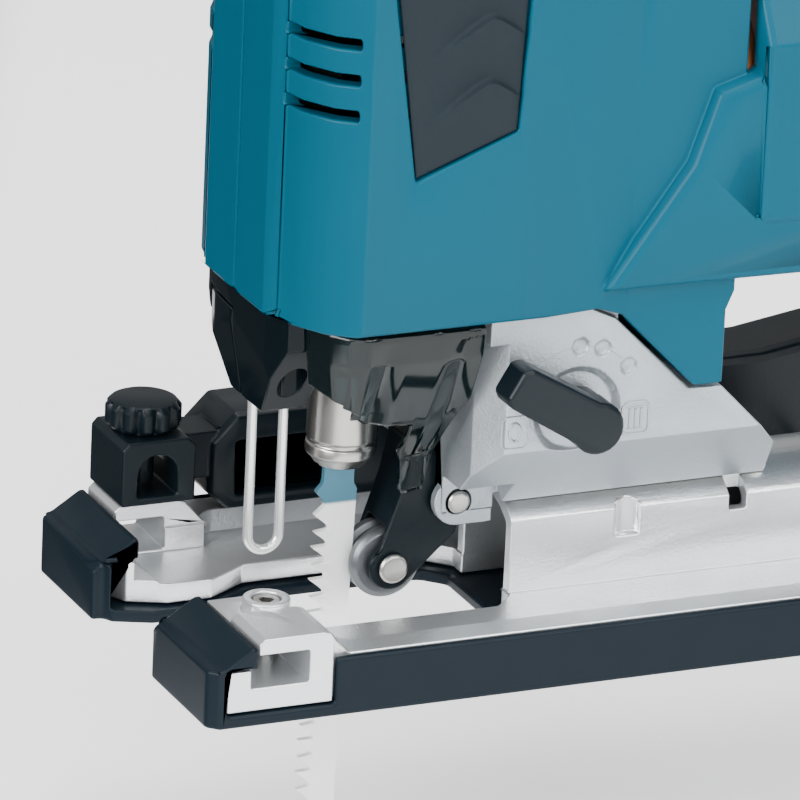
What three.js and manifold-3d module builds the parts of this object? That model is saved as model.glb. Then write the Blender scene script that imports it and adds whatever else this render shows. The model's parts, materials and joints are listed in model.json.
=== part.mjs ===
// A cordless orbital jigsaw with a D handle, in millimetres, +X forward, +Y the tool's left, +Z up.
// z = 0 is the underside of the cover plate under the base; the blade stands at x = BLADE_X.
import * as THREE from 'three';
import { mergeVertices } from 'three/addons/utils/BufferGeometryUtils.js';
import Module from 'manifold-3d';

const wasm = await Module();
wasm.setup();

// ---- driving dimensions -------------------------------------------------------------------
const GAP = 0.35;                 // clearance between two pieces that rest on each other
const BLADE_X = 40;               // blade's centre line at the sole
const LEAN = THREE.MathUtils.degToRad(1.85); // the blade's lean, tip forward

// base and cover plate
const BASE_FRONT = 80;
const BASE_REAR = -70;
const BASE_HALF = 41;             // half width over the cover plate
const COVER_WALL = 1.8;
const COVER_FLOOR = 2.4;
const RIM_TOP = 11;               // top of the base's outer rim
const FLOOR_TOP = 6.5;            // top of the sunk floor inside the rim
const RIM_WIDTH = 6;
const GAP_HALF = 14;              // half of the gap between the prongs
const SLOT_REAR = 12;             // rear end of the blade opening
const TILT_Z = 9;                 // height of the bevel axis
const RIDGE_R = 16;               // outside of the ridge, about the bevel axis
const RIDGE_HALF = 11.3;
const RIDGE_WALL = 2.6;
const SADDLE_T = 1.7;
const BOLT_X = -13;
const BOLT_R = 3;
const SLIDE_BACK = 12;            // the base slides back this far for flush cuts
const BLOCK_TOP = 16;             // raised blocks on the prongs that the rip fence passes through
const BLOCK_REAR = 57;
const CAP_BACK = 71;              // rear edge of the front caps
const CAP_TOP = 14.8;
const FENCE_X = [61, 72];         // rip fence slot, along x
const FENCE_Z = [7, 13];          // and in height
const DECK_TOP = 14.4;            // deck over the slot on the left prong
const BOSS_TOP = 16.8;            // boss of the rip fence screw on that deck
const BOSS_R = 4.3;
const SCREW_X = 62.4;
const SCREW_Y = 23.5;
const SCREW_THREAD_R = 2.4;

// head and housing
const HOUSING_WALL = 2.4;
const HEAD_HALF = 31;
const HEAD_BOTTOM = 66;
const NOSE_X = 60.8;
const MOTOR_HALF = 32;
const MOTOR_TOP = 129;
const HANDLE_HALF = 18;
const FOOT_BOTTOM = 128.5;        // underside of the battery rails' plate
const TOOL_TOP = 207;

// gearing and stroke
const MOTOR_Z = 96;
const GEAR_Z = 122;
const GEAR_TEETH = 44;
const PINION_TEETH = 8;
const GEAR_MODULE = 1;
const GEAR_X = 14;
const GEAR_T = 6;
const CRANK_R = 13;
const REST_DROP = 4;              // the plunger rests this far below mid stroke
const SHAFT_R = 3;
const ROD_R = 4.5;
const ROD_TOP = 163.4;            // top of the plunger at rest
const SLEEVE_R = 6.35;
const SLEEVE_Z = 31;
const BLADE_TIP = -48;
const BLADE_T = 1.3;
const BLADE_W = 7.2;

// guide roller and arm
const LINK_X = 19.1;
const LINK_Z = 24.2;
const ROLLER_R = 6.75;
const ROLLER_Z = 11.8;
const ROLLER_HALF = 3.6;
const ARM_HALF = 6;
const ROLLER_PIN_R = 1.9;

// gear housing
const CAST_HALF = 26;
const CAST_WALL = 3;
const FACET_RISE = 13.4;          // the 45 degree facets follow z = |y| + FACET_RISE

// orbital lever
const LEVER_X = 4.8;
const LEVER_Z = 46;
const LEVER_REACH = 19.3;
const LEVER_REST = 31;            // the lever points this far above straight ahead at setting 0
const LEVER_SHAFT_R = 3.4;

// handle controls
const LOCK_X = -4;
const LOCK_Z = 181;
const LOCK_R = 4.6;
const TRIGGER_HALF = 7.9;
const DIAL_X = -128;
const DIAL_Z = 174;
const DIAL_R = 11;

// battery
const BATTERY_REAR = -186;
const BATTERY_FRONT = -71;
const BATTERY_HALF = 37.5;
const BATTERY_LOW = 66;
const BATTERY_SPLIT = 106;
const BATTERY_TOP = 124;
const LATCH_PRESS = 2.5;          // the latch button's travel

// ---- colours ------------------------------------------------------------------------------
const TEAL = { color: 0x007f9c, roughness: 0.42, metalness: 0 };
const RUBBER = { color: 0x2e353b, roughness: 0.8, metalness: 0 };
const BLACK = { color: 0x1d252c, roughness: 0.45, metalness: 0 };
const COVER = { color: 0x27323b, roughness: 0.5, metalness: 0 };
const GLOSS = { color: 0x0b1216, roughness: 0.12, metalness: 0 };
const SMOKE = { color: 0x16262c, roughness: 0.08, metalness: 0, transparent: true, opacity: 0.72 };
const CAST = { color: 0xb4b7b8, roughness: 0.5, metalness: 0.9 };
const STEEL = { color: 0xb9b7b2, roughness: 0.3, metalness: 1 };
const BRIGHT = { color: 0xd8dadb, roughness: 0.22, metalness: 1 };
const COPPER = { color: 0xb06a3a, roughness: 0.4, metalness: 0.9 };
const BOARD = { color: 0x1f5c3a, roughness: 0.6, metalness: 0 };
const LENS = { color: 0xf4f6f2, roughness: 0.1, metalness: 0, transparent: true, opacity: 0.6 };

// ---- making and placing solids ------------------------------------------------------------

/** A closed three.js geometry as a solid that can be joined and cut. */
function solid(geometry) {
  const bare = geometry.index ? geometry.toNonIndexed() : geometry.clone();
  for (const name of Object.keys(bare.attributes)) {
    if (name !== 'position') {
      bare.deleteAttribute(name);
    }
  }
  const joined = mergeVertices(bare, 1e-4);
  const index = [];
  const triangles = joined.index.array;
  for (let i = 0; i < triangles.length; i += 3) {
    const [a, b, c] = [triangles[i], triangles[i + 1], triangles[i + 2]];
    if (a !== b && b !== c && c !== a) {
      index.push(a, b, c);
    }
  }
  return new wasm.Manifold(new wasm.Mesh({
    numProp: 3,
    vertProperties: new Float32Array(joined.attributes.position.array),
    triVerts: new Uint32Array(index),
  }));
}

/** A solid's surface as a three.js geometry. */
function surface(manifold) {
  const mesh = manifold.getMesh();
  const geometry = new THREE.BufferGeometry();
  const points = new Float32Array(mesh.numVert * 3);
  for (let i = 0; i < mesh.numVert; i += 1) {
    for (let k = 0; k < 3; k += 1) {
      points[3 * i + k] = mesh.vertProperties[mesh.numProp * i + k];
    }
  }
  geometry.setAttribute('position', new THREE.BufferAttribute(points, 3));
  geometry.setIndex(new THREE.BufferAttribute(new Uint32Array(mesh.triVerts), 1));
  return geometry;
}

const join = (...parts) => parts.reduce((sum, part) => sum.add(part));
const cut = (body, ...tools) => tools.reduce((rest, tool) => rest.subtract(tool), body);

const polar = (r, degrees) => [r * Math.cos(degrees * Math.PI / 180),
  r * Math.sin(degrees * Math.PI / 180)];

/** An outline from points; a point may be [x, y] or { arc: [cx, cy, r, from, to, clockwise] }, in degrees. */
function outline(points) {
  const shape = new THREE.Shape();
  points.forEach((point, i) => {
    if (point.arc) {
      const [cx, cy, r, from, to, clockwise] = point.arc;
      if (i === 1 && !points[0].arc) {
        const [dx, dy] = polar(r, from);
        shape.lineTo(cx + dx, cy + dy);
      }
      shape.absarc(cx, cy, r, from * Math.PI / 180, to * Math.PI / 180, Boolean(clockwise));
    } else if (i === 0) {
      shape.moveTo(point[0], point[1]);
    } else {
      shape.lineTo(point[0], point[1]);
    }
  });
  return shape;
}

/** Rectangle outline with rounded corners. */
function roundedBox(x0, x1, y0, y1, r) {
  return outline([
    { arc: [x1 - r, y0 + r, r, -90, 0] },
    { arc: [x1 - r, y1 - r, r, 0, 90] },
    { arc: [x0 + r, y1 - r, r, 90, 180] },
    { arc: [x0 + r, y0 + r, r, 180, 270] },
  ]);
}

/** An outline pulled straight from low to high, its edges rounded, the whole optionally set in. */
function prism(shape, low, high, { round = 0, inset = 0, segments = 2, curve = 4 } = {}) {
  const soft = Math.max(round, inset > 0 ? 0.4 : 0);
  const settings = { depth: high - low - 2 * soft, bevelEnabled: soft > 0, curveSegments: curve };
  if (soft > 0) {
    Object.assign(settings, {
      bevelThickness: soft, bevelSize: soft, bevelOffset: -soft - inset, bevelSegments: segments,
    });
  }
  return new THREE.ExtrudeGeometry(shape, settings).translate(0, 0, low + soft);
}

const ALONG_X = new THREE.Matrix4().makeBasis(
  new THREE.Vector3(0, 1, 0), new THREE.Vector3(0, 0, 1), new THREE.Vector3(1, 0, 0));
const ALONG_Y = new THREE.Matrix4().makeRotationX(Math.PI / 2);

/** An x-y outline pulled along Z, a y-z outline along X, an x-z outline along Y. */
const alongZ = (shape, low, high, options) => solid(prism(shape, low, high, options));
const alongX = (shape, low, high, options) => solid(prism(shape, low, high, options).applyMatrix4(ALONG_X));
const alongY = (shape, low, high, options) => solid(prism(shape, -high, -low,
  options).applyMatrix4(ALONG_Y));

/** A plain block between two corners. */
function block(x0, x1, y0, y1, z0, z1) {
  const box = new THREE.BoxGeometry(x1 - x0, y1 - y0, z1 - z0);
  return solid(box.translate((x0 + x1) / 2, (y0 + y1) / 2, (z0 + z1) / 2));
}

/** A turned piece about an axis through start in the direction of end; profile is [radius, distance]. */
function turned(profile, start, direction, segments = 24) {
  const lathe = new THREE.LatheGeometry(profile.map(([r, h]) => new THREE.Vector2(r, h)), segments);
  const turn = new THREE.Quaternion().setFromUnitVectors(
    new THREE.Vector3(0, 1, 0), new THREE.Vector3(...direction).normalize());
  return solid(lathe.applyQuaternion(turn).translate(...start));
}

/** A plain round bar. */
function rod(r, start, direction, length, segments = 24) {
  return turned([[0, 0], [r, 0], [r, length], [0, length]], start, direction, segments);
}

/** A plain round tube. */
function tube(inner, outer, start, direction, length, segments = 24) {
  return turned([[inner, 0], [outer, 0], [outer, length], [inner, length], [inner, 0]],
    start, direction, segments);
}

const X = [1, 0, 0];
const Y = [0, 1, 0];
const Z = [0, 0, 1];

const tool = new THREE.Group();

/** Adds a named piece to a group. */
function add(name, body, look, group = tool) {
  const mesh = new THREE.Mesh(surface(body), new THREE.MeshStandardMaterial(look));
  mesh.name = name;
  group.add(mesh);
  return mesh;
}

// ---- housing ------------------------------------------------------------------------------

/** Side outline of the narrow core that runs through the head, handle, rear foot and motor barrel. */
function housingSide() {
  return outline([
    [NOSE_X, HEAD_BOTTOM],
    [NOSE_X, 134],
    [57.5, 152],
    [50, 173],
    [38, 190],
    [22, 201],
    [4, TOOL_TOP],
    [-34, 206],
    [-80, 200],
    [-118, 189],
    [-143, 174],
    [-158, 156],
    [-165, 142],
    [-182, 141],
    [-182, FOOT_BOTTOM],
    [-66, FOOT_BOTTOM],
    [-66, 67],
    [-27, 66.5],
    [3, HEAD_BOTTOM + 6],
  ]);
}

/** The grip opening of the D handle. */
function gripOpening() {
  return outline([
    [-28, 143],
    { arc: [-21, 155, 9, -90, 0] },
    { arc: [-24, 161, 12, 0, 86] },
    [-60, 171.5],
    [-92, 166],
    { arc: [-112, 149, 9, 60, 200] },
    [-118, 145],
    { arc: [-112, 147, 5, 200, 270] },
  ]);
}

/** Plan outline of the head: a rounded nose, flat sides that close in behind the column. */
function headPlan(inset = 0) {
  const side = [[NOSE_X - 0.7, 12], [NOSE_X - 2.6, 21], [NOSE_X - 6, 26.8], [49.2, HEAD_HALF],
    [19, HEAD_HALF], [-3, 28], [-30, 28]].map(([x, y]) => [x - (x > 40 ? inset : 0), y - inset]);
  return outline([[NOSE_X - inset, 0], ...side, ...side.toReversed().map(([x, y]) => [x, -y])]);
}

/** Front view outline of the head, which narrows to the handle's width at the top. */
function headFront(half, top, low) {
  return outline([[half, low], [half, 137], [half - 2, 160], [half - 8, 180], [13, top], [-13, top],
    [8 - half, 180], [2 - half, 160], [-half, 137], [-half, low]]);
}

/** Section of the motor barrel. */
function barrelSection(half, low, top) {
  return outline([[half, low + 14], [half, top - 16], [half - 7, top - 4], [half - 14, top], [14 - half,
    top],
    [7 - half, top - 4], [-half, top - 16], [-half, low + 14], [9 - half, low], [half - 9, low]]);
}

function housing() {
  const flare = (face) => alongY(gripOpening(), face - 5, face + 5, { round: 5, inset: -5 });
  const core = cut(alongY(housingSide(), -HANDLE_HALF, HANDLE_HALF, { round: 5 }),
    alongY(gripOpening(), -HANDLE_HALF - 1, HANDLE_HALF + 1), flare(-HANDLE_HALF), flare(HANDLE_HALF));
  const headSide = outline([[NOSE_X, HEAD_BOTTOM], [NOSE_X, 134], [57.5, 152], [50, 173], [38, 190], [22,
    201],
    [4, TOOL_TOP - 2], [-7, TOOL_TOP - 4], [-8, 175], [-9, 150], [-13, 137], [-24, 129], [-24, 66.5],
      [-22.5, 63], [-22.5, 49.2],
    [-17, 49.2], [-2, 64.2], [3, HEAD_BOTTOM]]);
  const head = alongY(headSide, -HEAD_HALF, HEAD_HALF, { round: 1.2, segments: 2 })
    .intersect(alongZ(headPlan(), 40, 210))
    .intersect(alongX(headFront(HEAD_HALF, TOOL_TOP, 40), -40, 70));
  const barrel = alongX(barrelSection(MOTOR_HALF, 66.8, MOTOR_TOP), -66, -26, { round: 1.5, segments: 2 });
  const step = alongY(outline([[3, 69.5], [-13, 92], [-17.5, 105], [-34, 110], [-60, 112], [-60, 68.5]]),
    -MOTOR_HALF + 1, MOTOR_HALF - 1, { round: 2.4, segments: 2 });
  const foot = alongX(outline([[34, FOOT_BOTTOM], [34, 138], [22, 141.5], [-22, 141.5], [-34, 138],
    [-34, FOOT_BOTTOM]]), -182, -66, { round: 1.2, segments: 2 });
  const outer = join(core, head, barrel, step, foot);

  // hollows
  const headRoom = alongY(outline([[NOSE_X - HOUSING_WALL, 60], [NOSE_X - HOUSING_WALL, 133], [54, 152],
    [46, 171], [35, 186], [16, 195], [-2, 196], [-5, 175], [-6, 150], [-10, 134], [-20, 126.5], [-27,
      126], [-27, 76], [-2, 72],
    [3, HEAD_BOTTOM - 10]]), -HEAD_HALF + HOUSING_WALL, HEAD_HALF - HOUSING_WALL, { round: 0.5,
      segments: 1 })
    .intersect(alongZ(headPlan(HOUSING_WALL), 40, 210))
    .intersect(alongX(headFront(HEAD_HALF - HOUSING_WALL, TOOL_TOP - 4, 30), -40, 70));
  const motorRoom = join(rod(28.2, [-62, 0, MOTOR_Z], X, 40, 40), rod(24.6, [-23, 0, MOTOR_Z], X, 27, 40));
  const grip = alongY(outline([[6, 176], [6, 197], [-30, 200.5], [-80, 194.5], [-115, 183], [-138, 168],
    [-150, 152], [-154, 137], [-136, 137], [-124, 160], [-112, 172], [-86, 175], [-40, 179]]),
    -HANDLE_HALF + 3, HANDLE_HALF - 3, { round: 1.5, segments: 1 });
  const board = block(-150, -70, -26, 26, 131.5, 137.5);
  const battery = block(-181, -67.5, -26.5, 26.5, FOOT_BOTTOM - 1, FOOT_BOTTOM + 1);
  const castingRoom = block(-4, 23, -CAST_HALF - 0.4, CAST_HALF + 0.4, 56, 76);
  const terminal = block(-81, -72.5, -12.4, 12.4, FOOT_BOTTOM - 1, 132);
  const hollows = [headRoom, motorRoom, grip, board, battery, castingRoom, terminal];

  // air slots in the front corners and in the barrel, the trigger's mouth, button and dial holes
  const vents = [106.5, 113, 119.5].flatMap((z) => [-1, 1].map((sign) =>
    block(40, 70, sign > 0 ? 16 : -29.4, sign > 0 ? 29.4 : -16, z - 1, z + 1)));
  const barrelVents = [];
  for (let x = -60; x <= -48; x += 6) {
    barrelVents.push(block(x, x + 2.6, -40, 40, 84, 108));
  }
  const mouth = block(-44, -13, -TRIGGER_HALF - 0.5, TRIGGER_HALF + 0.5, 150, 182);
  const lockHole = rod(LOCK_R + GAP, [LOCK_X, HANDLE_HALF - 8, LOCK_Z], Y, 12, 20);
  const dialSlot = join(rod(DIAL_R + 0.5, [DIAL_X, -4.7, DIAL_Z], Y, 9.4, 32),
    rod(1.6 + GAP, [DIAL_X, -HANDLE_HALF + 3, DIAL_Z], Y, 2 * HANDLE_HALF - 6, 12));
  return cut(outer, ...hollows, ...vents, ...barrelVents, mouth, lockHole, dialSlot);
}

/** Outline of the rubber inset on the column's side. */
const padOutline = () => outline([[40.5, 94], [46, 131], [46, 135], [20, 135], [19.8, 127], [21.3, 101.5]]);

/** The thin layer on top of the handle that the palm rubber takes. */
const palmZone = (drop) => alongY(outline([[-22, 203.9 - drop], [-22, 215], [-112, 215], [-112,
  188.2 - drop],
  [-80, 197.4 - drop], [-34, 203.4 - drop]]), -HANDLE_HALF - 1, HANDLE_HALF + 1);

const SCREW_PLACES = [[8, 188], [-60, 186], [-106, 177], [-154, 148]];
const SCREW_R = 1.7;
const SCREW_HEAD_R = 3.5;

/** The two moulded halves, their rubber insets, the palm rubber and the screws from the right. */
function buildHousing() {
  const shell = housing();
  const palm = alongY(housingSide(), -HANDLE_HALF, HANDLE_HALF, { round: 5 }).intersect(palmZone(0));
  add('handle_grip', palm, RUBBER);
  const bodyShell = cut(shell, palmZone(GAP));
  for (const side of [1, -1]) {
    const name = side > 0 ? 'left' : 'right';
    const low = side > 0 ? GAP / 2 : -60;
    const high = side > 0 ? 60 : -GAP / 2;
    const face = side * HEAD_HALF;
    const span = (from, to) => [Math.min(face - side * from, face - side * to),
      Math.max(face - side * from, face - side * to)];
    const pocket = alongY(padOutline(), ...span(-1, 1.7));
    const pad = alongY(padOutline(), ...span(0.2, 1.7 - GAP), { inset: GAP });
    const bores = SCREW_PLACES.flatMap(([x, z]) => [
      rod(SCREW_R + GAP, [x, -HANDLE_HALF - 1, z], Y, 2 * HANDLE_HALF, 12),
      rod(SCREW_HEAD_R + GAP, [x, -HANDLE_HALF - 20, z], Y, 21.5, 16),
    ]);
    const half = cut(bodyShell.intersect(block(-200, 100, low, high, 0, 220)), pocket, ...bores);
    add(`housing_${name}`, half, TEAL);
    add(`side_pad_${name}`, pad, RUBBER);
  }
  SCREW_PLACES.forEach(([x, z], i) => {
    const face = -HANDLE_HALF + 1.5 - GAP;
    const screw = turned([[0, 0], [SCREW_HEAD_R, 0.3], [SCREW_HEAD_R, 0.8], [SCREW_R, 0.8],
      [SCREW_R, 2 * HANDLE_HALF - 3.5], [0, 2 * HANDLE_HALF - 3.5]], [x, face - 0.8, z], Y, 16);
    const socket = rod(1.2, [x, face - 1, z], Y, 0.7, 6);
    add(`housing_screw_${i + 1}`, cut(screw, socket), STEEL);
  });
}
buildHousing();

// ---- gear housing, gears and motor --------------------------------------------------------

const PIVOT_Z = 151;              // height of the plunger guide's trunnions
const CHEEK_INNER = 23.6;
const EAR_HALF = 8.4;             // half width over the roller arm's ears
const SADDLE_IN = RIDGE_R + GAP;
const SADDLE_OUT = SADDLE_IN + SADDLE_T;
const CRADLE_R = SADDLE_OUT + GAP;
const NUT_IN = CRADLE_R + 2;
const NUT_OUT = NUT_IN + 3.4;

/** A ring sector about the bevel axis, pulled along X; angles in degrees from +Y, 90 is up. */
function sector(inner, outer, from, to, x0, x1) {
  const shape = outline([{ arc: [0, TILT_Z, outer, from, to] }, { arc: [0, TILT_Z, inner, to, from,
    true] }]);
  return alongX(shape, x0, x1, { curve: 10 });
}

/** Where the strokes' axis is at a height along it: the plunger leans with the blade. */
const strokePoint = (forward, height) => [
  BLADE_X + forward * Math.cos(LEAN) - height * Math.sin(LEAN), 0,
  forward * Math.sin(LEAN) + height * Math.cos(LEAN)];

const RIGHT_FLOOR = 21;           // the casting's underside on the tool's right

function buildGearHousing() {
  const sideView = outline([[22.5, 15], [22.5, HEAD_BOTTOM], [10, 66.2], [3, 65.2], [-2, 62.8], [-17, 48.1],
    [-23.4, 47.9], [-37.6, 33.5], [-41, 23], [-41, 15]]);
  const section = outline([[CAST_HALF, CAST_HALF + FACET_RISE], [CAST_HALF, 70], [-CAST_HALF, 70],
    [-CAST_HALF, RIGHT_FLOOR], [-9, RIGHT_FLOOR], [9, 9 + FACET_RISE]]);
  const lower = alongY(sideView, -CAST_HALF, CAST_HALF).intersect(alongX(section, -50, 40));
  const cheekSide = outline([[3, 60], [22.4, 60], [22.4, 78], [42, 92], [42, 152], [39, 157], [31, 157],
    [20, 146], [3, 146]]);
  const cheeks = [-1, 1].map((sign) => alongY(cheekSide,
    Math.min(sign * CHEEK_INNER, sign * CAST_HALF), Math.max(sign * CHEEK_INNER, sign * CAST_HALF)));
  const plate = block(-3, 3.5, 1.4 - CAST_HALF, CAST_HALF - 1.4, 60, 146);
  const ear = alongY(outline([[11.2, 20.4], [12, 19.6], { arc: [LINK_X, LINK_Z, 4.6, -90, 50] }, [21.2,
    29.6],
    [11.2, 29.6]]), -EAR_HALF, EAR_HALF);
  const earRelief = [-1, 1].map((sign) => block(11.6, 24, Math.min(sign * (EAR_HALF + GAP), sign * 30),
    Math.max(sign * (EAR_HALF + GAP), sign * 30), 10, 29.5));
  const earGap = block(12.4, 24, -ARM_HALF - 0.4, ARM_HALF + 0.4, 10, 38.5);
  const room = block(4, 18.5, -CHEEK_INNER, CHEEK_INNER, 44, 80);
  const rearRoom = block(-14, 1, -CHEEK_INNER, CHEEK_INNER, 46, 62);
  const cradle = rod(CRADLE_R, [-60, 0, TILT_Z], X, 72.4, 48);
  const slot = sector(CRADLE_R - 1, NUT_OUT + 0.6, 74, 152,
    BOLT_X - SLIDE_BACK - BOLT_R - 0.6, BOLT_X + BOLT_R + 0.6);
  const nutRoom = sector(NUT_IN - 0.4, NUT_OUT + 0.6, 69, 152, BOLT_X - SLIDE_BACK - 6.4, BOLT_X + 6.4);
  const pivot = strokePoint(0, PIVOT_Z);
  const bores = [
    rod(9.5 + GAP, [-10, 0, MOTOR_Z], X, 20, 28),
    rod(9.5 + GAP, [-10, 0, GEAR_Z], X, 20, 28),
    rod(3.4, [pivot[0], -30, pivot[2]], Y, 60, 20),
    rod(2.5, [LINK_X, -12, LINK_Z], Y, 24, 16),
    rod(LEVER_SHAFT_R + 0.25, [LEVER_X, CAST_HALF - 9, LEVER_Z], Y, 12, 20),
  ];
  const recess = turned([[0, 0], [7.2, 0], [9.6, 3], [0, 3]], [LEVER_X, CAST_HALF - 1.6, LEVER_Z], Y, 28);
  const dimples = [90, 111, 142].map((angle) => {
    const [dx, dz] = polar(12.3, angle);
    return turned([[0, 0], [1.3, 0.3], [2, 1.2], [0, 1.2]],
      [LEVER_X + dx, CAST_HALF - 0.9, LEVER_Z + dz], Y, 12);
  });
  const frontBevel = alongZ(outline([[30, 20], [22.6, 20], [18.6, CAST_HALF + 0.1], [18.6, 30], [30,
    30]]), 15, 66.5);
  const casting = cut(join(cut(lower, ...earRelief), ear), cradle, frontBevel);
  add('gear_housing', cut(join(casting, ...cheeks, plate), earGap, room, rearRoom, slot, nutRoom, ...bores,
    recess, ...dimples), CAST);
  const pin = turned([[0, 0], [1.6, 0], [2.2, 0.5], [2.2, 18.3], [1.6, 18.8], [0, 18.8]],
    [LINK_X, -9.4, LINK_Z], Y, 16);
  add('link_pin', pin, STEEL);
  add('motor_bearing_front', tube(SHAFT_R + 0.3, 9.5, [-3, 0, MOTOR_Z], X, 6, 28), STEEL);
  add('crank_bearing', tube(4.3, 9.5, [-3, 0, GEAR_Z], X, 6, 28), STEEL);
  add('motor_bearing_rear', tube(SHAFT_R + 0.3, 8, [-61, 0, MOTOR_Z], X, 5, 28), STEEL);
}
buildGearHousing();

/** A spur gear's outline, its first tooth turned by phase. */
function gearOutline(teeth, phase) {
  const pitch = teeth * GEAR_MODULE / 2;
  const shape = [];
  const radii = [pitch - 1.15 * GEAR_MODULE, pitch + 0.85 * GEAR_MODULE];
  const widths = [0.62, 0.18];
  for (let i = 0; i < teeth; i += 1) {
    const middle = 360 * (i + phase) / teeth;
    for (const k of [0, 1]) {
      shape.push(polar(radii[k], middle - 180 * widths[k] / teeth));
    }
    for (const k of [1, 0]) {
      shape.push(polar(radii[k], middle + 180 * widths[k] / teeth));
    }
  }
  return shape;
}

const placed = (points, y, z) => outline(points.map(([a, b]) => [a + y, b + z]));

function buildDrive() {
  const rest = [Math.sqrt(CRANK_R ** 2 - REST_DROP ** 2), GEAR_Z - REST_DROP];
  const wheel = alongX(placed(gearOutline(GEAR_TEETH, 0.5 - GEAR_TEETH / 4), 0, GEAR_Z), GEAR_X,
    GEAR_X + GEAR_T);
  const pinEnd = strokePoint(-9, GEAR_Z - REST_DROP)[0] - 1.2;
  const crankShaft = rod(4, [-6, 0, GEAR_Z], X, GEAR_X + 8, 20);
  const crankPin = rod(3, [GEAR_X + GEAR_T - 1, rest[0], rest[1]], X, pinEnd - GEAR_X - GEAR_T + 1, 16);
  const weight = alongX(outline([{ arc: [0, GEAR_Z, 18, 115, 245] }]), GEAR_X + GEAR_T - 0.5,
    GEAR_X + GEAR_T + 2.5)
    .subtract(rod(3, [GEAR_X, 0, GEAR_Z], X, 20, 12));
  add('crank_gear', join(wheel, crankShaft, crankPin, weight), STEEL);
  const shaft = rod(SHAFT_R, [-62, 0, MOTOR_Z], X, 80, 20);
  const pinion = alongX(placed(gearOutline(PINION_TEETH, PINION_TEETH / 4), 0, MOTOR_Z), GEAR_X - 2,
    GEAR_X + GEAR_T + 2);
  add('rotor_shaft', join(shaft, pinion), STEEL);
  add('rotor_core', tube(SHAFT_R + 0.06, 12, [-50, 0, MOTOR_Z], X, 26, 28), STEEL);
  const hub = tube(SHAFT_R + 0.06, 7, [-20, 0, MOTOR_Z], X, 6, 24);
  const disc = tube(SHAFT_R + 0.06, 23, [-20, 0, MOTOR_Z], X, 1.4, 32);
  const blades = Array.from({ length: 10 }, (_, i) => {
    const vane = new THREE.BoxGeometry(5, 1.4, 15).translate(-16.5, 0, 14);
    vane.rotateX(i * Math.PI / 5);
    return solid(vane.translate(0, 0, MOTOR_Z));
  });
  add('cooling_fan', join(hub, disc, ...blades), BLACK);
  const poles = Array.from({ length: 6 }, (_, i) => {
    const pole = new THREE.BoxGeometry(30, 7, 11).translate(-37, 0, 18.5);
    pole.rotateX(i * Math.PI / 3);
    return solid(pole.translate(0, 0, MOTOR_Z));
  });
  add('stator', join(tube(23, 27.6, [-50, 0, MOTOR_Z], X, 26, 36), ...poles), COPPER);
}
buildDrive();

// ---- plunger, clamp and blade, in a group that leans with the blade -----------------------

const stroke = new THREE.Group();
stroke.position.set(BLADE_X, 0, 0);
stroke.rotation.y = -LEAN;
tool.add(stroke);

/** The blade's side outline: straight back, teeth along the front, shank with its two lugs. */
function bladeOutline() {
  const back = -BLADE_W / 2;
  const points = [[back, BLADE_TIP + 5], [back, 24], [-2.9, 26], [-2.9, 43.5], [2.9, 43.5], [2.9, 30],
    [4.1, 28.2], [3.2, 26.5], [3.6, 24.5]];
  const pitch = 3.1;
  const edge = (z) => 3.5 - 0.012 * (24 - z);
  for (let z = 21; z - pitch > BLADE_TIP + 3; z -= pitch) {
    points.push([edge(z) - 1.7, z + 0.25], [edge(z) + 0.25, z - pitch + 0.75]);
  }
  points.push([edge(BLADE_TIP) - 1.2, BLADE_TIP + 1], [back + 3.4, BLADE_TIP]);
  return outline(points);
}

function buildStroke() {
  add('saw_blade', alongY(bladeOutline(), -BLADE_T / 2, BLADE_T / 2), BRIGHT, stroke);
  const sleeve = turned([[0, 0], [4.4, 0], [5.4, 1.4], [SLEEVE_R, 2.2], [SLEEVE_R, 4], [SLEEVE_R - 0.35,
    4.3],
    [SLEEVE_R - 0.35, 4.9], [SLEEVE_R, 5.2], [SLEEVE_R, 18.6], [0, 18.6]], [0, 0, SLEEVE_Z], Z, 32);
  const slit = block(-4.6, 4.6, -BLADE_T / 2 - GAP, BLADE_T / 2 + GAP, SLEEVE_Z - 1, SLEEVE_Z + 13);
  add('clamp_sleeve', cut(sleeve, slit), STEEL, stroke);
  const restZ = GEAR_Z - REST_DROP;
  const bar = rod(ROD_R, [0, 0, SLEEVE_Z + 18.6 + GAP], Z, ROD_TOP - SLEEVE_Z - 18.6 - GAP, 24);
  const yoke = block(-9, -4.8, -17.6, 17.6, restZ - 7, restZ + 7)
    .subtract(block(-10, -4, -16.2, 16.2, restZ - 3.4, restZ + 3.4));
  const webs = [-7, 3.6].map((z) => block(-6, 0, -6, 6, restZ + z, restZ + z + 3.4));
  add('plunger', join(bar, yoke, ...webs), STEEL, stroke);
  const bush = (low, high) => block(-7.5, 7.5, -22.6, 22.6, low, high);
  const frame = join(bush(70, 80), bush(147, 154), block(-4, 4, -22.6, -19.2, 75, 150), block(-4, 4,
    19.2, 22.6, 75, 150),
    rod(3.3, [0, 22, PIVOT_Z], Y, 4.4, 20), rod(3.3, [0, -26.4, PIVOT_Z], Y, 4.4, 20));
  add('plunger_guide', cut(frame, rod(ROD_R + 0.06, [0, 0, 60], Z, 110, 24)), STEEL, stroke);
}
buildStroke();

// ---- roller, arm, orbital lever, covers ---------------------------------------------------

/** The guide roller's centre: its groove just clears the blade's back. */
const ROLLER_X = strokePoint(-BLADE_W / 2, ROLLER_Z)[0] - (ROLLER_R - 1.2) - 0.25;

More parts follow.
